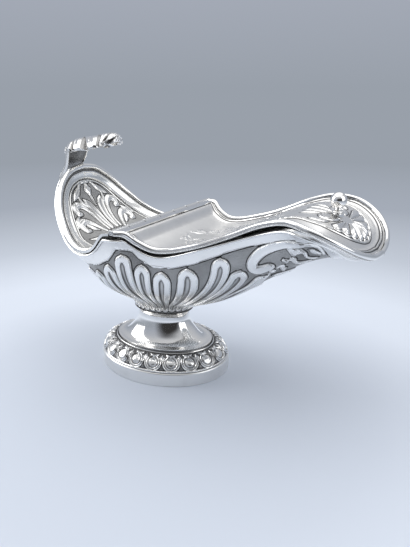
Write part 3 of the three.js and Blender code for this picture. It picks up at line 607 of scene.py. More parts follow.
# Palmette of the rear cover, one half: stations of length from the hinge, place off the middle and half width
palmette = {
    "thread": (1.05, 0.24), "formsFrom": 1.6,  # way in from the border, half width; where the forms start
    "hollowIn": 1.0, "crease": (0.95, 0.16),  # way in from a petal's side; from a volute's side, half width
    "sink": 0.3,
    "layers": [
        [("forms", 0.7, -0.3, 1.3), ("hollow", -0.35, -0.2, 0.6), ("crease", -0.12, -0.2, 0.1)],
        [("thread", 0.3, -0.25, 0.2)], [("outside", 0.35, -0.25, 0.25)],
    ],
    "border": [
        (11, 0), (11.4, 14), (12.6, 23), (16, 28), (22, 29.3), (28.6, 29.3), (34, 28.5), (41, 25), (50, 20.6),
        (58, 16), (62.9, 10.3), (65.2, 4), (65.6, 0),
    ],
    "petals": [
        [(35.6, 2.2, 1.2), (40.5, 2.4, 1.8), (44.7, 2.8, 2.1), (49.2, 3.8, 2.3), (52.5, 5.3, 1.9),
         (54.8, 6.7, 0.3)],
        [(61.9, 5.2, 0.3), (59.8, 7.6, 1.4), (57.5, 10.6, 1.4), (55.4, 13.6, 0.2)],
    ],
    "volutes": [
        [(35, 4.9, 0.6), (41.5, 5.9, 0.8), (46.6, 7.3, 1.0), (50.6, 9.6, 1.4), (52.5, 12.8, 1.8),
         (51.2, 15.9, 2.0), (48.2, 15.6, 1.8), (47.6, 14.4, 1.1)],
        [(34, 7.6, 0.7), (38, 10, 1.1), (41.5, 12.8, 1.5), (43, 16.6, 1.9), (41.2, 19.9, 2.0),
         (37.9, 19.6, 1.7), (37.2, 17.8, 1.0)],
        [(33, 4.4, 0.5), (27.5, 6.6, 1.0), (22.4, 10.4, 1.5), (20.4, 15.6, 1.9), (22.6, 20, 2.0),
         (26.4, 20.2, 1.7), (27.2, 18.2, 1.0)],
    ],
    "drops": [
        [(57.4, 0, 1.3), (59.4, 0, 2.5), (61.3, 0, 1.5)],
        [(57.0, 0, 0.5), (54, 0, 0.85), (50.4, 0, 0.3)],
        [(40.2, 15.9, 0.8), (38.4, 14.4, 1.2), (36, 11.6, 0.3)],
        [(64.1, 0.2, 0.8), (63.8, 2.4, 0.8)],
        [(62.9, 4.4, 0.6), (61.9, 6.2, 0.4)],
        [(33, 0, 0.6), (28.6, 0, 2.0), (23.6, 0, 1.6), (17, 0, 0.2)],
        [(50.2, 6.4, 0.3), (53.4, 8.8, 0.9), (56.8, 9.4, 0.3)],
        [(31.6, 12.6, 0.3), (30.8, 17.6, 1.1), (31.8, 23.6, 0.3)],
        [(46.4, 17.2, 0.3), (44.2, 20.2, 0.9), (40.2, 23.2, 0.2)],
    ],
}


def fieldInside(points, border):
    # signed distance to a border drawn in order of length: positive inside it
    line = curveThrough(border, np.linspace(0, 1, 90))
    within = points[:, 1] < np.interp(points[:, 0], line[:, 0], line[:, 1], left=0, right=0)
    return alongLine(points, line)[0] * np.where(within, 1, -1)


def coverChasing(points, inward):
    # petals, curled volutes and drops inside a border with a thread beside it; petals are hollowed and
    # volutes creased down their sides
    field = fieldInside(points, palmette["border"])
    threadIn, threadHalf = palmette["thread"]
    thread = threadHalf - np.abs(field - threadIn)
    petals = manyStrokes(palmette["petals"], points)
    volutes = manyStrokes(palmette["volutes"], points, 40)
    drops = manyStrokes(palmette["drops"], points)
    within = field - palmette["formsFrom"]
    forms = np.minimum(np.max([petals, volutes, drops], axis=0), within)
    hollow = np.where(petals > 0, petals - palmette["hollowIn"], -3)
    creaseIn, creaseHalf = palmette["crease"]
    crease = np.where((volutes > petals) & (volutes > drops), creaseHalf - np.abs(volutes - creaseIn), -3)
    insides = {"forms": forms, "hollow": hollow, "crease": crease, "thread": thread, "outside": -field}
    height = reliefHeight(insides, palmette["layers"]) - palmette["sink"] * ease(field, -0.3, 0.3)
    edge = np.max([forms, thread, -field], axis=0)
    return height, edge, np.minimum(np.maximum(hollow, crease), within)


# Lid: a shell before the knob with leaves round its hub, a border line beside the crown and shallow sprays
shell = {
    "hub": (98.6, 0), "boss": 1.7, "bossGap": 0.35, "leafGap": 0.4, "veinIn": 0.95, "borderHalf": 0.3,
    "ribs": (0.2, 0.92), "ribHalves": (0.1, 1.9),  # shares of the way from hub to end, half widths there
    "scallopFrom": 97.5, "scallop": (-1.1, 0.3), "thread": (4.7, 0.24),  # way in, half width
    "knob": (96.9, 3.4, 4.4),  # place of the knob, and how far round it the chasing stops and is back in full
    "ends": [(109.2, 0), (108.3, 4.8), (105.8, 9.2), (102.2, 13.0), (98.0, 15.8)],
    "leaves": [
        [(95.4, 4.8, 0.6), (94.6, 8.2, 1.1), (92.4, 10.8, 1.3), (89.4, 11.0, 1.0), (88.2, 9.2, 0.6)],
        [(93.4, 13.4, 0.3), (91.6, 15.6, 1.3), (89.0, 17.2, 1.1), (86.2, 17.8, 0.2)],
        [(90.2, 1.6, 0.4), (86.6, 2.6, 1.1), (82.4, 3.2, 0.8), (78.5, 3.4, 0.2)],
        [(87, 6.2, 0.3), (83.4, 8.0, 1.0), (79, 9.2, 0.2)],
    ],
    "border": [
        (50, 15.5), (56, 15.4), (64, 16), (72.6, 17.4), (80, 19), (86, 20.6), (90.4, 21.2), (96.7, 20.5),
        (101.7, 17.8), (105.8, 14.2), (108.9, 9.4), (110.9, 4.6), (111.6, 0),
    ],
    "stem": [(15.5, 2), (18.5, 8), (24, 13), (32, 17.4), (42, 20), (52, 19)],
    "branch": [(18, 9), (25, 7), (33, 9.6), (41, 7.6), (50, 10), (60, 8), (70, 9.6)],
    "layers": [
        [("ribs", 1.0, -0.4, 1.4)], [("boss", 0.8, -0.3, 1.7)], [("scallop", 0.35, -0.2, 0.25)],
        [("leaves", 0.6, -0.25, 1.0), ("veins", -0.3, -0.2, 0.4)], [("border", 0.35, -0.3, 0.3)],
        [("thread", 0.3, -0.2, 0.2)], [("sprays", 0.28, -0.25, 0.5)],
    ],
}
spray = {
    "stemHalf": 0.2, "leafMiddle": (1.6, 1.5), "leafTip": (4.4, 2.4),  # ways ahead and off the stem
    "leafHalves": (0.1, 0.62, 0.05),
}


def sprayOf(stem, points, count):
    # a thin wavy stem with small pointed leaves on alternate sides
    line = curveThrough(stem, np.linspace(0, 1, 60))
    best = strokeInside(points, line, np.full(60, spray["stemHalf"]))
    for number in range(count):
        index = int((number + 0.6) / count * 58)
        at, ahead = line[index], unit(line[index + 1] - line[index])
        off = np.array([-ahead[1], ahead[0]]) * (1 if number % 2 else -1)
        ways = (0, 0), spray["leafMiddle"], spray["leafTip"]
        leaf = np.array([at + ahead * forward + off * aside for forward, aside in ways])
        best = np.maximum(best, strokeInside(points, leaf, np.array(spray["leafHalves"])))
    return best


def lidChasing(points, inward):
    # ribs fan out from the hub and end in a scalloped edge; nothing is chased under the knob
    hub = np.array(shell["hub"])
    ribs = np.full(len(points), -4.0)
    for end in shell["ends"]:
        line = hub + (np.array(end) - hub) * np.linspace(*shell["ribs"], 20)[:, None]
        ribs = np.maximum(ribs, strokeInside(points, line, np.linspace(*shell["ribHalves"], 20)))
    boss = shell["boss"] - np.hypot(points[:, 0] - hub[0], points[:, 1])
    ribs = np.minimum(ribs, -boss - shell["bossGap"])
    scallopIn, scallopHalf = shell["scallop"]
    scallop = np.where(points[:, 0] > shell["scallopFrom"], scallopHalf - np.abs(ribs - scallopIn), -3)
    leaves = np.minimum(manyStrokes(shell["leaves"], points), -ribs - shell["leafGap"])
    veins = leaves - shell["veinIn"]
    borderLine = curveThrough(shell["border"], np.linspace(0, 1, 80))
    border = shell["borderHalf"] - alongLine(points, borderLine)[0]
    threadIn, threadHalf = shell["thread"]
    thread = threadHalf - np.abs(inward - threadIn)
    sprays = np.maximum(sprayOf(shell["stem"], points, 12), sprayOf(shell["branch"], points, 9))
    forms = {"ribs": ribs, "boss": boss, "scallop": scallop, "leaves": leaves}
    forms = {**forms, "border": border, "thread": thread}
    height = reliefHeight({**forms, "veins": veins, "sprays": sprays}, shell["layers"])
    edge = np.max([*forms.values()], axis=0)
    knobAt, stops, isBack = shell["knob"]
    free = ease(np.hypot(points[:, 0] - knobAt, points[:, 1]), stops, isBack)
    line = np.maximum(np.minimum(sprays, 0) - 0.3, veins)
    return height * free, edge * free + 3 * (1 - free), line


def edgeWire(name, edge, start, replaced, body="boat"):
    # half-round section carried along the edge, from near one end of the hinge round the tip to the other,
    # with its places closer together near the tip
    t = np.concatenate([np.linspace(start, 0.9, 220), 0.9 + 0.1 * np.sin(np.linspace(0, np.pi / 2, 60)[1:])])
    near, normal = curveThrough(edge, t), sheetNormal(edge, t)
    near[-1, 1] = 0
    path = np.concatenate([near, near[-2::-1] * [1, -1, 1]])
    normals = np.concatenate([normal, normal[-2::-1]])[:, None]
    facing = np.sign(near[-1, 0] - near[0, 0])
    inward = unit(np.cross(normals, unit(np.gradient(path, axis=0))[:, None])) * -facing
    inward[0], inward[-1] = (0, -1, 0), (0, 1, 0)
    angle = np.linspace(0, np.pi, 15)
    across = sheet["wireWidth"] / 2 * (1 - np.cos(angle))
    rise = sheet["wireHeight"] * (np.sin(angle) - sheet["wireFoot"])
    rings = path[:, None] + inward * across[:, None] + normals * rise[:, None]
    addPiece(name, cappedTube(rings), "wire", replaced, body)


shape, masks = chasedSheet(coverEdge, 280, 289, coverChasing)
addPiece("rearCover", shape, "cover", ["rear_cover"], masks=masks)
shape, masks = chasedSheet(lidEdge, 400, 209, lidChasing, sheet["crown"])
addPiece("chasedLid", shape, "lid", ["lid"], lidBody, masks)
edgeWire("coverWire", coverEdge, 0.36, ["rear_cover_wire"])
edgeWire("lidWire", lidEdge, 0.0, ["lid_wire"], lidBody)
print("covers made")

# Bowl: a cubic curve hangs from each place of the lip down to the neck
bowl = {
    "wall": 1.2, "lipDrop": 2.18, "overlap": 0.4, "spring": 2.0, "springAt": 3.2, "columns": 900, "rows": 92,
    "insets": (0.9, 2.6, 88, 106), "hingeReach": (13, 26), "bowReach": (92, 106),
    "wireHeight": 1.1, "wireOut": 0.75,
    "wireSection": [  # shares of the wire's reach and height, from its top round to its foot
        (0, 0), (0.5, 0.04), (0.8, 0.15), (0.95, 0.35), (1.0, 0.55), (0.95, 0.75), (0.8, 0.95), (0.5, 1.06),
        (0, 1.1),
    ],
    "lipGaps": [(2.4, 8, 1.5), (21, 13, 1.4), (71, 15, 1.6), (112, 6, 2.0)],  # place, reach and depth of dips
}
# Place along the boat, then pulls: away from the covers, in under them, and at the neck outward and up
wallPulls = np.array([
    (-53, 12, 34, 18, 8), (-38, 12.3, 19.4, 11.3, 14.4), (0, 27.5, -0.8, 17, 19), (70, 18.3, 3.7, 37.6, 20.1),
    (110, 2.8, 31.9, 48.5, 19.9),
])


def pullsAt(x):
    # pulls at places along the boat, eased between the two named places on either side
    i = np.clip(np.searchsorted(wallPulls[:, 0], x, side="left"), 1, len(wallPulls) - 1)
    a, b = wallPulls[i - 1], wallPulls[i]
    return blend(a, b, ease(x, a[:, 0], b[:, 0])[:, None])[:, 1:].T


def inwardOf(edge, t, normal):
    # square to the edge line and to the normal, toward the boat's middle; straight back at the tip
    along = curveThrough(edge, np.minimum(t + 0.01, 1)) - curveThrough(edge, np.maximum(t - 0.01, 0))
    inward = unit(np.cross(normal, along))
    inward = inward * np.where(inward[:, 1:2] > 0, -1, 1)
    back = np.sign(hinge["x"] - curveThrough(edge, t)[:, 0])
    tip = np.stack([back * normal[:, 2], 0 * t, -back * normal[:, 0]], -1)
    return np.where((t >= 1)[:, None], tip, inward)


def lipStations(edge, t):
    # the lip lies under the edge line and inside it; the way that the wall hangs from it turns upright
    # near the hinge and the bow
    at, normal = curveThrough(edge, t), sheetNormal(edge, t)
    nearHinge = 1 - ease(np.abs(at[:, 0] - hinge["x"]), *bowl["hingeReach"])
    upright = np.maximum(nearHinge, ease(at[:, 0], *bowl["bowReach"]))[:, None]
    hang = unit(normal * (1 - upright) + np.array([0, 0, 1.0]) * upright)
    away, under, _, _ = pullsAt(at[:, 0])
    lean = np.maximum(under, 0) / np.hypot(under, away)
    gap = sum(depth * np.exp(-(((at[:, 0] - x) / reach) ** 2)) for x, reach, depth in bowl["lipGaps"])
    low, high, start, end = bowl["insets"]
    inset = blend(low, high, ease(at[:, 0], start, end))
    inward, sheetInward = inwardOf(edge, t, hang), inwardOf(edge, t, normal)
    at = at - normal * (bowl["lipDrop"] + gap + lean * bowl["wall"])[:, None] + sheetInward * inset[:, None]
    at[t >= 1, 1] = 0
    return at, hang, inward


sternPart = lipStations(coverEdge, 1 - np.arange(16) / 16)
hingePart = lipStations(lidEdge, np.array([0.0]))
hingePart[0][0, 0] = hinge["x"]
bowPart = lipStations(lidEdge, (np.arange(24) + 1) / 24)


def roundLip(index, places):
    # places round the lip from the stern, as shares of one turn, on a closed curve through the stations of
    # both halves; index picks the places themselves, the way that the wall hangs or the way inward
    half = np.concatenate([part[index] for part in (sternPart, hingePart, bowPart)])
    return curveThrough(np.concatenate([half * [1, -1, 1], half[-2:0:-1]]), places, closed=True)


def wallGrid(places, downs):
    # outer face: rows go down from the lip to the neck, columns go round the lip; each column is a cubic
    # curve, lifted a little just above the neck
    lip, hang, inward = (roundLip(index, places) for index in range(3))
    away, under, out, up = (pull[:, None] for pull in pullsAt(lip[:, 0]))
    upper = lip - hang * away + inward * under
    angle = np.arctan2(lip[:, 1], lip[:, 0])
    half = foot["neckHalf"] + foot["flare"] - bowl["overlap"]
    outward = np.stack([np.cos(angle), np.sin(angle), 0 * angle], -1)
    neckX, neckY = (half + foot["neckStretch"]) * outward[:, 0], half * outward[:, 1]
    neck = np.stack([neckX, neckY, 0 * angle + foot["neck"] + foot["gap"]], -1)
    lower = neck + outward * out
    lower[:, 2] += up[:, 0]
    v = np.asarray(downs)[:, None, None]
    wall = (1 - v) ** 3 * lip + 3 * v * (1 - v) ** 2 * upper + 3 * v**2 * (1 - v) * lower + v**3 * neck
    rise = (wall[..., 2] - neck[:, 2]) / bowl["springAt"]
    wall[..., 2] += bowl["spring"] * rise * np.exp(1 - rise)
    return wall


def gridNormals(grid):
    # cross product of the steps round the grid and down it
    around = np.roll(grid, -1, 1) - np.roll(grid, 1, 1)
    return unit(np.cross(around, np.gradient(grid, axis=0)))


def wallPoints(route):
    # points of the bowl's outer face at pairs of place round the lip and way down
    along, down = np.asarray(route, float).T
    return wallGrid(along, down)[np.arange(len(along)), np.arange(len(along))]


def wallStroke(stations, points, steps=30):
    # inside distance of a curved stroke on the wall, from stations of place, way down and half width
    rows = curveThrough(stations, np.linspace(0, 1, steps))
    return strokeInside(points, wallPoints(rows[:, :2]), np.maximum(rows[:, 2], 0))


# Gadroons: one on the bow's keel and fifteen round to the stern; their tops are angles about the foot and
# ways down the wall, and each runs down to its own even share of the neck
gadroon = {
    "count": 30, "foot": 0.985, "arch": 5.5, "channel": 0.45,
    "hollowFrom": 3.6, "hollow": 0.34, "hollowArch": 3, "archPower": 0.75,
    "angles": (0, 22, 28, 34, 46, 57.5, 69.6, 81.5, 93, 105, 117.5, 130, 142.5, 155, 167.5, 180),
    "tops": (
        0.62, 0.47, 0.31, 0.112, 0.118, 0.112, 0.094, 0.094, 0.185, 0.155, 0.19, 0.27, 0.34, 0.37, 0.36, 0.34,
    ),
    "widths": (3.6, 4.2, 4.6, 5.0, 4.7, 4.3, 4.3, 4.3, 4.2, 4.1, 4.0, 3.9, 3.8, 3.7, 3.6, 3.6),
}


def gadroonLine(number, steps=34):
    # axis of a gadroon from its top down to the neck; those past the stern mirror the near ones
    i = abs(number) if number < len(gadroon["tops"]) else gadroon["count"] - number
    down = blend(gadroon["tops"][i], gadroon["foot"], np.linspace(0, 1, steps) ** 1.2)
    lean = (down - gadroon["tops"][i]) / (gadroon["foot"] - gadroon["tops"][i])
    angle = blend(gadroon["angles"][i], i * 360 / gadroon["count"], lean)
    search = np.linspace(0.5, 0, 400)
    lip = roundLip(0, search)
    lipAngles = np.degrees(np.abs(np.arctan2(lip[:, 1], lip[:, 0])))
    line = wallPoints(np.stack([np.interp(angle, lipAngles, search), down], -1))
    return line * [1, -1, 1] if i != number else line


def archAt(passed, reach):  # a round arch that rises from 0 to 1 over its reach
    return (1 - (1 - np.clip(passed / reach, 0, 1)) ** 2) ** gadroon["archPower"]


def gadroons(points):
    # inside distances of the tongues and of their hollow cores
    tongue, core = np.full(len(points), -4.0), np.full(len(points), -4.0)
    count = len(gadroon["tops"])
    lines = [gadroonLine(number) for number in range(-1, count + 1)]
    for number in range(count):
        before, line, after = lines[number : number + 3]
        pitch = np.minimum(alongLine(line, before)[0], alongLine(line, after)[0])
        passed = lengthsAlong(line)
        channel = gadroon["channel"] * np.minimum(1, pitch / 6)
        half = np.minimum(gadroon["widths"][number], pitch / 2 - channel)
        tongue = np.maximum(tongue, strokeInside(points, line, half * archAt(passed, gadroon["arch"])))
        deep = passed > gadroon["hollowFrom"]
        arch = archAt(passed[deep] - gadroon["hollowFrom"], gadroon["hollowArch"])
        core = np.maximum(core, strokeInside(points, line[deep], half[deep] * gadroon["hollow"] * arch))
    return tongue, core


# Lower edge of the plain band under the lip, from the stern to the bow: place and way down
bandLine = [
    (0, 0.17), (0.04, 0.15), (0.08, 0.11), (0.121, 0.09), (0.145, 0.125), (0.17, 0.152), (0.186, 0.148),
    (0.196, 0.105), (0.2045, 0.056), (0.214, 0.063), (0.233, 0.061), (0.244, 0.041), (0.252, 0.06),
    (0.269, 0.078), (0.292, 0.09), (0.308, 0.1), (0.322, 0.092), (0.337, 0.082), (0.36, 0.091),
    (0.385, 0.095), (0.41, 0.103), (0.435, 0.112), (0.47, 0.12), (0.5, 0.125),
]
# Leafwork on the flank of the bow: stations of place, way down and half width in mm
bowScroll = [
    (0.452, 0.13, 0.2), (0.44, 0.138, 0.7), (0.42, 0.148, 1.3), (0.396, 0.142, 1.7), (0.378, 0.141, 1.9),
    (0.363, 0.146, 2.1), (0.3555, 0.18, 2.2), (0.352, 0.245, 2.2), (0.3545, 0.315, 2.2), (0.362, 0.355, 2.3),
    (0.373, 0.363, 2.4), (0.381, 0.358, 2.2),
]
bowLeaves = [
    [(0.3865, 0.178, 0.2), (0.392, 0.196, 1.5), (0.402, 0.226, 2.5), (0.413, 0.252, 1.9), (0.426, 0.272, 1.0),
     (0.439, 0.262, 0.7), (0.448, 0.236, 0.5), (0.4535, 0.186, 0.2)],
    [(0.4265, 0.226, 0.2), (0.433, 0.206, 1.3), (0.44, 0.178, 0.9), (0.4465, 0.142, 0.1)],
    [(0.393, 0.292, 0.3), (0.404, 0.322, 1.2), (0.422, 0.35, 1.3), (0.438, 0.346, 1.0), (0.453, 0.296, 0.6),
     (0.459, 0.23, 0.2)],
    [(0.4, 0.412, 0.3), (0.412, 0.426, 1.0), (0.428, 0.428, 1.0), (0.445, 0.402, 0.3)],
    [(0.475, 0.37, 0.2), (0.469, 0.42, 0.9), (0.46, 0.465, 1.0), (0.45, 0.49, 0.4)],
]
leafVein = [(0.396, 0.222, 0.05), (0.407, 0.246, 0.3), (0.42, 0.266, 0.1)]
# Heights on the bowl, over a ground sunk into its wall; near the neck they fade out between two ways down
bowlRelief = {
    "sink": 0.8, "formGap": 1.0, "bandGap": 0.5, "fade": (0.94, 0.99),
    "layers": [
        [("tongue", 1.15, -0.4, 0.6), ("core", -0.8, -0.25, 0.9)], [("band", 0.82, -0.3, 0.3)],
        [("scroll", 1.05, -0.4, 0.5), ("scroll", -0.22, 0.5, 2)],
        [("leaves", 1.0, -0.4, 0.5), ("vein", -0.3, -0.4, 0.2)],
    ],
}


def bowlChasing(points, place, down):
    # height over the plain wall, inside distance of the raised forms and of the sunk lines
    tongue, core = gadroons(points)
    route = np.array(bandLine)
    bandGap = alongLine(points, wallPoints(route))[0]
    band = np.clip(np.where(down < np.interp(place, route[:, 0], route[:, 1]), bandGap, -bandGap), -4, 4)
    scroll = wallStroke(bowScroll, points)
    leaves = np.max([wallStroke(leaf, points, 18) for leaf in bowLeaves], axis=0)
    vein = wallStroke(leafVein, points, 12)
    free = -np.maximum(scroll, leaves) - bowlRelief["formGap"]
    tongue = np.minimum(tongue, np.minimum(free, -band - bowlRelief["bandGap"]))
    forms = {"tongue": tongue, "band": band, "scroll": scroll, "leaves": leaves}
    height = reliefHeight({**forms, "core": core, "vein": vein}, bowlRelief["layers"]) - bowlRelief["sink"]
    edge, line = np.max([*forms.values()], axis=0), np.maximum(np.where(tongue > 0, core, -4), vein)
    return height * (1 - ease(down, *bowlRelief["fade"])), edge, line


def makeBowl():
    # the relief is worked out on the near half and mirrored, and the inner face lies one wall further in,
    # with a floor and the bolt's bore at the neck; then the half-round wire outside the lip
    columns, half = bowl["columns"], bowl["columns"] // 2
    places = np.arange(columns) / columns
    downs = np.linspace(0, 1, bowl["rows"]) ** 1.1
    outer = wallGrid(places, downs)
    normals = gridNormals(outer)
    if normals[10, half // 2, 1] > 0:  # on the near side they point out, toward the camera
        normals = -normals
    placeGrid, downGrid = np.meshgrid(places[: half + 1], downs)
    relief = bowlChasing(outer[:, : half + 1].reshape(-1, 3), placeGrid.ravel(), downGrid.ravel())
    mirrored = [*range(half + 1), *range(half - 1, 0, -1)]
    height, edge, line = (part.reshape(len(downs), half + 1)[:, mirrored] for part in relief)
    under = foot["neck"] + foot["gap"]
    floor = under + bowl["wall"]
    inside = (outer - normals * bowl["wall"])[::9]
    inside[..., 2] = np.maximum(inside[..., 2], floor)
    angle = np.arctan2(outer[-1, :, 1], outer[-1, :, 0])
    bore = np.stack([foot["bore"] * np.cos(angle), foot["bore"] * np.sin(angle), 0 * angle], -1)
    chasedWall = outer + normals * height[..., None]
    rings = np.concatenate([chasedWall, [bore + [0, 0, under], bore + [0, 0, floor]], inside[::-1]])
    masks = reliefMasks(edge, line, (2 + len(inside), columns))
    addPiece("chasedBowl", closedBothWays(rings), "bowl", ["bowl"], masks=masks)
    lip, outward = outer[0], normals[0][:, None]
    downward = unit(wallGrid(places, [0.01])[0] - lip)[:, None]
    out, low = np.array(bowl["wireSection"]).T[..., None]
    base = lip[:, None] + outward * foot["gap"]
    wire = base + outward * (out * bowl["wireOut"]) + downward * (low * bowl["wireHeight"])
    addPiece("lipWire", closedBothWays(wire[::2]), "wire", ["bowl_lip_wire"])
    return outer[:, 0]


sternLine = makeBowl()
print("bowl made")


def turned(profile, columns, x, z):
    # profile of (radius, height) turned about an upright axis, with its poles closed
    angle = fullTurn(columns)
    r, h = np.asarray(profile, float).T[..., None]
    return cappedTube(np.stack([x + r * np.cos(angle), r * np.sin(angle), z + h + 0 * angle], -1))


knob = {
    "x": 91.6, "shank": 1.0, "ball": 3.6, "ballHeight": 5.0, "ballFrom": -1.12,  # the last in radians
    "flange": [(2.5, 0), (2.7, 0.3), (2.45, 0.62), (1.5, 1.0), (1.2, 1.5), (1.25, 2.0)],  # radius, height
}


def makeKnob():
    # from the foot of the shank up to the flange, then by a short neck into an arc that makes the ball
    knobLow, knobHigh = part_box("knob")
    knobFoot = knobHigh.z / mm - knob["ballHeight"] - knob["ball"]
    lift = np.linspace(knob["ballFrom"], np.pi / 2 - 0.02, 26)
    ballLine = np.stack([knob["ball"] * np.cos(lift), knob["ballHeight"] + knob["ball"] * np.sin(lift)], -1)
    low, radius = knobLow.z / mm - knobFoot, knob["shank"]
    shankLine = [[radius - 0.02, low], [radius, low + 0.1], [radius, 0]]
    line = np.concatenate([shankLine, roundedLine([*knob["flange"], ballLine[0]], 0.4), ballLine])
    shape = turned(line, 64, knob["x"], knobFoot)
    addPiece("ballKnob", shape, "polished", ["knob"], lidBody)


makeKnob()

# Cast handle: a channelled strap behind the stern and a lobed leaf over the cover, in mm from the cover's tip
handle = {
    "strapLine": [
        (-13.1, -17.3), (-14.3, -12.8), (-13.2, -8.4), (-9.9, -4.6), (-6.9, -1.2), (-5.1, 2.0), (-3.9, 5.4),
        (-3.3, 9.0),
    ],
    "leafLine": [
        (-10.2, 6.6), (-7.1, 10.4), (-2.6, 13), (2.4, 14.3), (9.9, 15.3), (17.7, 16.9), (21.6, 17),
        (24.5, 15.5), (25.6, 12.8),
    ],
    "padHeights": (-7, -4, -1), "padGap": 1.5,
    "width": (8, 16.5), "thickness": 2.4, "rim": 1.1, "channel": 0.5,
    "length": 47.0, "half": 11.0, "plate": 1.5, "droop": 6.0, "droopPower": 2.6, "fold": 1.0, "vein": 0.15,
    "lobes": 6, "lobeShift": 0.22, "lobeLean": 0.12, "lobeDepth": 0.24, "droopAlong": (0.8, 1.0),
    "sine": (0.13, 0.9), "sinePower": 0.55, "edgeIn": 0.25,
    "foldHalf": (0.5, 1.3),  # half width of a fold at the leaf's middle, and what it gains on the way out
}


def fromTip(line):  # places given from the tip of the rear cover
    return [(coverEdge[-1, 0] + x, coverEdge[-1, 2] + z) for x, z in line]


def sideLine(points, t):
    # a line in the upright plane through the boat, and the direction square to it
    x, z = np.array(points, float).T
    line = np.stack([x, 0 * x, z], -1)
    ahead = unit(curveThrough(line, np.minimum(t + 0.004, 1)) - curveThrough(line, np.maximum(t - 0.004, 0)))
    square = np.stack([-ahead[:, 2], 0 * t, ahead[:, 0]], -1)
    return curveThrough(line, t)[:, None], square[:, None]


def closedStrip(top, under):
    # top and under are grids of the same size; rows run along the strip
    return cappedTube(np.concatenate([top, under[:, ::-1]], axis=1))


def makeLeaf():
    # half width: a sine along the leaf, cut into round lobes whose notches lean forward on the way out;
    # the sides droop with a power of the way out, and the notches run in as folds that deepen outward,
    # with fine veins between them
    rows, columns = 260, 121
    k, v = np.linspace(0, 1, rows)[:, None], np.linspace(-1, 1, columns)[None]
    out = np.abs(v)
    at, square = sideLine(fromTip(handle["leafLine"]), 0.004 + 0.992 * k[:, 0])
    outline = np.sin(np.pi * blend(*handle["sine"], k)) ** handle["sinePower"]
    phase = handle["lobes"] * (k - handle["lobeLean"] * out) - handle["lobeShift"]
    notch = np.abs((phase + 0.5) % 1 - 0.5) * 2  # 0 in a notch, 1 at the middle of a lobe
    rounded = np.sqrt(np.clip(1 - (1 - notch) ** 2, 0, 1))
    half = handle["half"] * outline * (1 - 2 * handle["lobeDepth"] * (1 - rounded))
    droop = handle["droop"] * outline * blend(*handle["droopAlong"], k) * out ** handle["droopPower"]
    fold = handle["fold"] * (1 - ease(notch, 0.0, 0.5)) * out**0.8
    vein = handle["vein"] * np.cos(2 * np.pi * 2 * phase) * ease(out, 0.15, 0.6)
    top = at - square * (droop + fold + vein + handle["vein"])[..., None]
    top[..., 1] += v * half
    under = at - square * (droop + fold * 0.6 + handle["plate"])[..., None]
    under[..., 1] += v * (half - handle["edgeIn"])
    spacing, (foldHalf, foldMore) = handle["length"] / handle["lobes"] / 2, handle["foldHalf"]
    edge = np.minimum(notch * spacing - (foldHalf + foldMore * out**1.5), out * half - handle["edgeIn"])
    veinInside = 0.12 - np.abs((2 * phase + 0.5) % 1 - 0.5) * 1.6
    line = np.where((out > 0.25) & (notch > 0.4), veinInside, -3)
    masks = reliefMasks(edge, line, (rows, columns), axis=1)
    addPiece("leafTop", closedStrip(top, under), "leaf", ["leaf_handle"], masks=masks)


def makeStrap():
    # a flat strip with round edges and a channel down both faces; its first three places follow the stern
    heights = [hinge["z"] + z for z in handle["padHeights"]]
    pads = [(np.interp(-z, -sternLine[:, 2], sternLine[:, 0]) - handle["padGap"], z) for z in heights]
    t, v = np.linspace(0, 1, 120), np.linspace(-1, 1, 41)[None]
    at, square = sideLine([*pads, *fromTip(handle["strapLine"])], t)
    reach = blend(*handle["width"], ease(t, 0.35, 1))[:, None] / 2
    inside = (1 - np.abs(v)) * reach
    rise = handle["thickness"] / 2 * np.sqrt(np.clip(1 - (1 - np.minimum(inside / 0.5, 1)) ** 2, 0.2, 1))
    channel = handle["channel"] * ease(inside, handle["rim"] * 0.6, handle["rim"] * 1.5)
    sides = [at + square * (sign * (rise - channel))[..., None] for sign in (1, -1)]
    for side in sides:
        side[..., 1] += v * reach
    edge = handle["rim"] - inside
    masks = {"edge": np.concatenate([edge, edge], axis=1), "line": np.full(2 * edge.size, -3)}
    # its finish is darkened: painted shade under the leaf
    addPiece("shadedStrap", closedStrip(*sides), "shadedStrap", ["leaf_handle"], masks=masks)


makeLeaf()
makeStrap()
print("handle made")


def makeKnuckle(number, start, end):
    # a tube about the hinge's axis, its outer edges bevelled; odd numbers stay on the boat
    outer, bore, bevel = hinge["outer"], hinge["bore"], hinge["bevel"]
    outside = [(outer - bevel, start), (outer, start + bevel), (outer, end - bevel), (outer - bevel, end)]
    r, y = np.array([*outside, (bore, end), (bore, start)]).T[..., None]
    angle = fullTurn(28)
    rings = np.stack([hinge["x"] + r * np.cos(angle), y + 0 * angle, hinge["z"] + r * np.sin(angle)], -1)
    body, node = "boat" if number % 2 else lidBody, f"hinge_knuckle_{number}"
    addPiece(f"knuckle{number}", closedBothWays(rings), "wire", [node], body, sharp=40)


knuckleLength = (2 * hinge["half"] - (hinge["count"] - 1) * hinge["gap"]) / hinge["count"]
for index in range(hinge["count"]):
    knuckleStart = index * (knuckleLength + hinge["gap"]) - hinge["half"]
    makeKnuckle(index + 1, knuckleStart, knuckleStart + knuckleLength)
print("hinge made")

# Nodes of the pack that stay as they are, and their finish
for node, kind in {
    "foot_bolt": "wire", "foot_washer": "satin", "foot_nut": "satin", "hinge_pin": "satin",
    "knob_washer": "satin", "knob_nut": "satin", "lid_hinge_strip": "polished", "knob_collar": "wire",
}.items():
    frame["nodes"][node].data.materials.clear()
    frame["nodes"][node].data.materials.append(silvers[kind])
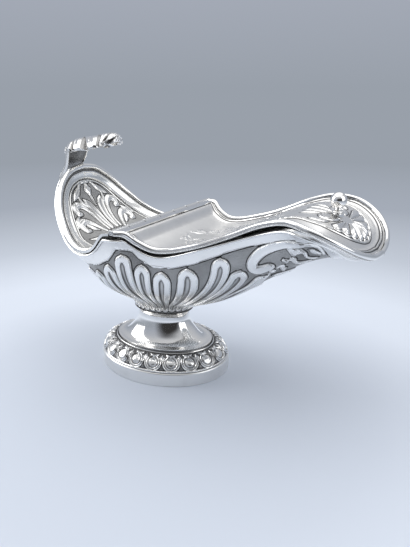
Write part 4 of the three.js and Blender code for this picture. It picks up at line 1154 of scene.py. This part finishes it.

# Stage: a seamless pale floor, darker round the boat in a painted shadow, brightest behind the boat and
# grey far away, where it meets the world; camera and glossy rays see part of its colour by itself, so that
# it stays even and keeps the shadow
stage = {
    "centre": (22, -33), "glow": 0.12, "glowReach": (0.12, 0.45), "radii": (60, 300, 9000), "drop": 0.05,
    "floor": [  # reach from the centre in m, and colour
        # the darker colours near the centre, up to 0.10 m, are a painted shadow of the boat
        (0.0, (0.60, 0.65, 0.735, 1)), (0.10, (0.65, 0.70, 0.785, 1)), (0.15, (0.725, 0.775, 0.86, 1)),
        (0.19, (0.715, 0.765, 0.85, 1)), (0.29, (0.54, 0.584, 0.658, 1)), (0.50, (0.376, 0.413, 0.479, 1)),
        (0.95, (0.319, 0.352, 0.402, 1)),
    ],
    "sky": [  # height of the direction and colour
        (0.0, (0.319, 0.352, 0.402, 1)), (0.15, (0.373, 0.404, 0.47, 1)), (0.8, (0.58, 0.59, 0.61, 1)),
    ],
    "dark": (0.035, 0.034, 0.034, 1),
}


def floorMaterial():
    # matt paint mixed with its own colour shown plainly, for camera and glossy rays, and more of it far away
    material, shade = newMaterial("paleFloor")
    place = shade.node("ShaderNodeTexCoord", output=3)
    centre = (stage["centre"][0] * mm + middle[0], stage["centre"][1] * mm, 0)
    shifted = shade.node("ShaderNodeVectorMath", {0: place, 1: centre}, operation="SUBTRACT")
    reach = shade.node("ShaderNodeVectorMath", {0: shifted}, output=1, operation="LENGTH")
    floorToneAndShadow = shade.node("ShaderNodeValToRGB", {0: reach}, stops=stage["floor"])
    seen = shade.node("ShaderNodeLightPath").above(shade.node("ShaderNodeLightPath", output=3))
    share = seen * (reach.between(*stage["glowReach"]) * (1 - stage["glow"]) + stage["glow"])
    paint = shade.node("ShaderNodeBsdfDiffuse", {"Color": floorToneAndShadow})
    lit = shade.node("ShaderNodeEmission", {"Color": floorToneAndShadow, "Strength": 1.0})
    setOutput(shade, shade.node("ShaderNodeMixShader", {0: share, 1: paint, 2: lit}))
    return material


def makeFloor():
    # three rings about the foot, the smallest filled by a cap
    angle = fullTurn(96)
    radii = np.array(stage["radii"])[:, None]
    rings = np.stack([radii * np.cos(angle), radii * np.sin(angle), np.full((3, 96), -stage["drop"])], -1)
    mesh = meshFrom("floor", rings.reshape(-1, 3), gridQuads(3, 96, roundColumns=True), [[*range(96)]])
    mesh.materials.append(floorMaterial())
    floor = bpy.data.objects.new("floor", mesh)
    scene.collection.objects.link(floor)


def makeWorld():
    # grey round the horizon, paler overhead, with the dark side of a studio behind the camera
    world = bpy.data.worlds.new("studio")
    scene.world = world
    world.use_nodes = True
    world.node_tree.nodes.clear()
    air = Shade(world.node_tree)
    direction = air.node("ShaderNodeTexCoord", output=0)
    rise = air.node("ShaderNodeSeparateXYZ", {0: direction}, output=2)
    sockets = {0: direction, 1: (math.sin(turn), -math.cos(turn), 0)}
    side = air.node("ShaderNodeVectorMath", sockets, output=1, operation="DOT_PRODUCT")
    night = side.between(0.55, 0.9) * (1 - rise.between(0.4, 0.75)) * (1 - air.node("ShaderNodeLightPath"))
    sky = night.colour(air.node("ShaderNodeValToRGB", {0: rise}, stops=stage["sky"]), stage["dark"])
    glow = air.node("ShaderNodeBackground", {"Color": sky, "Strength": 1.0})
    air.node("ShaderNodeOutputWorld", {"Surface": glow})


makeFloor()
makeWorld()

# Lamps aimed at the middle of the boat: place and size in m, and radiance
aimedAt = np.array([0.0, 0.0, 0.06])
lamps = {
    "overhead": ((-0.05, 0.10, 0.80), (1.0, 1.0), 1.05),
    "leftPanel": ((-0.75, -0.25, 0.40), (0.55, 0.7), 2.8),
    "rightPanel": ((0.75, 0.10, 0.42), (0.4, 0.6), 1.3),
    "frontStrip": ((0.50, -0.12, 0.30), (0.14, 0.5), 1.5),
}
for name, (place, size, radiance) in lamps.items():
    lamp = bpy.data.lights.new(name, "AREA")
    lamp.shape, lamp.size, lamp.size_y = "RECTANGLE", size[0], size[1]
    lamp.energy = math.pi * size[0] * size[1] * radiance
    holder = bpy.data.objects.new(name, lamp)
    scene.collection.objects.link(holder)
    holder.location = place
    x, y, z = aimedAt - place
    holder.rotation_euler = (math.atan2(math.hypot(x, y), -z), 0, math.atan2(-x, y))

scene.view_settings.view_transform = "Standard"
print("scene made")
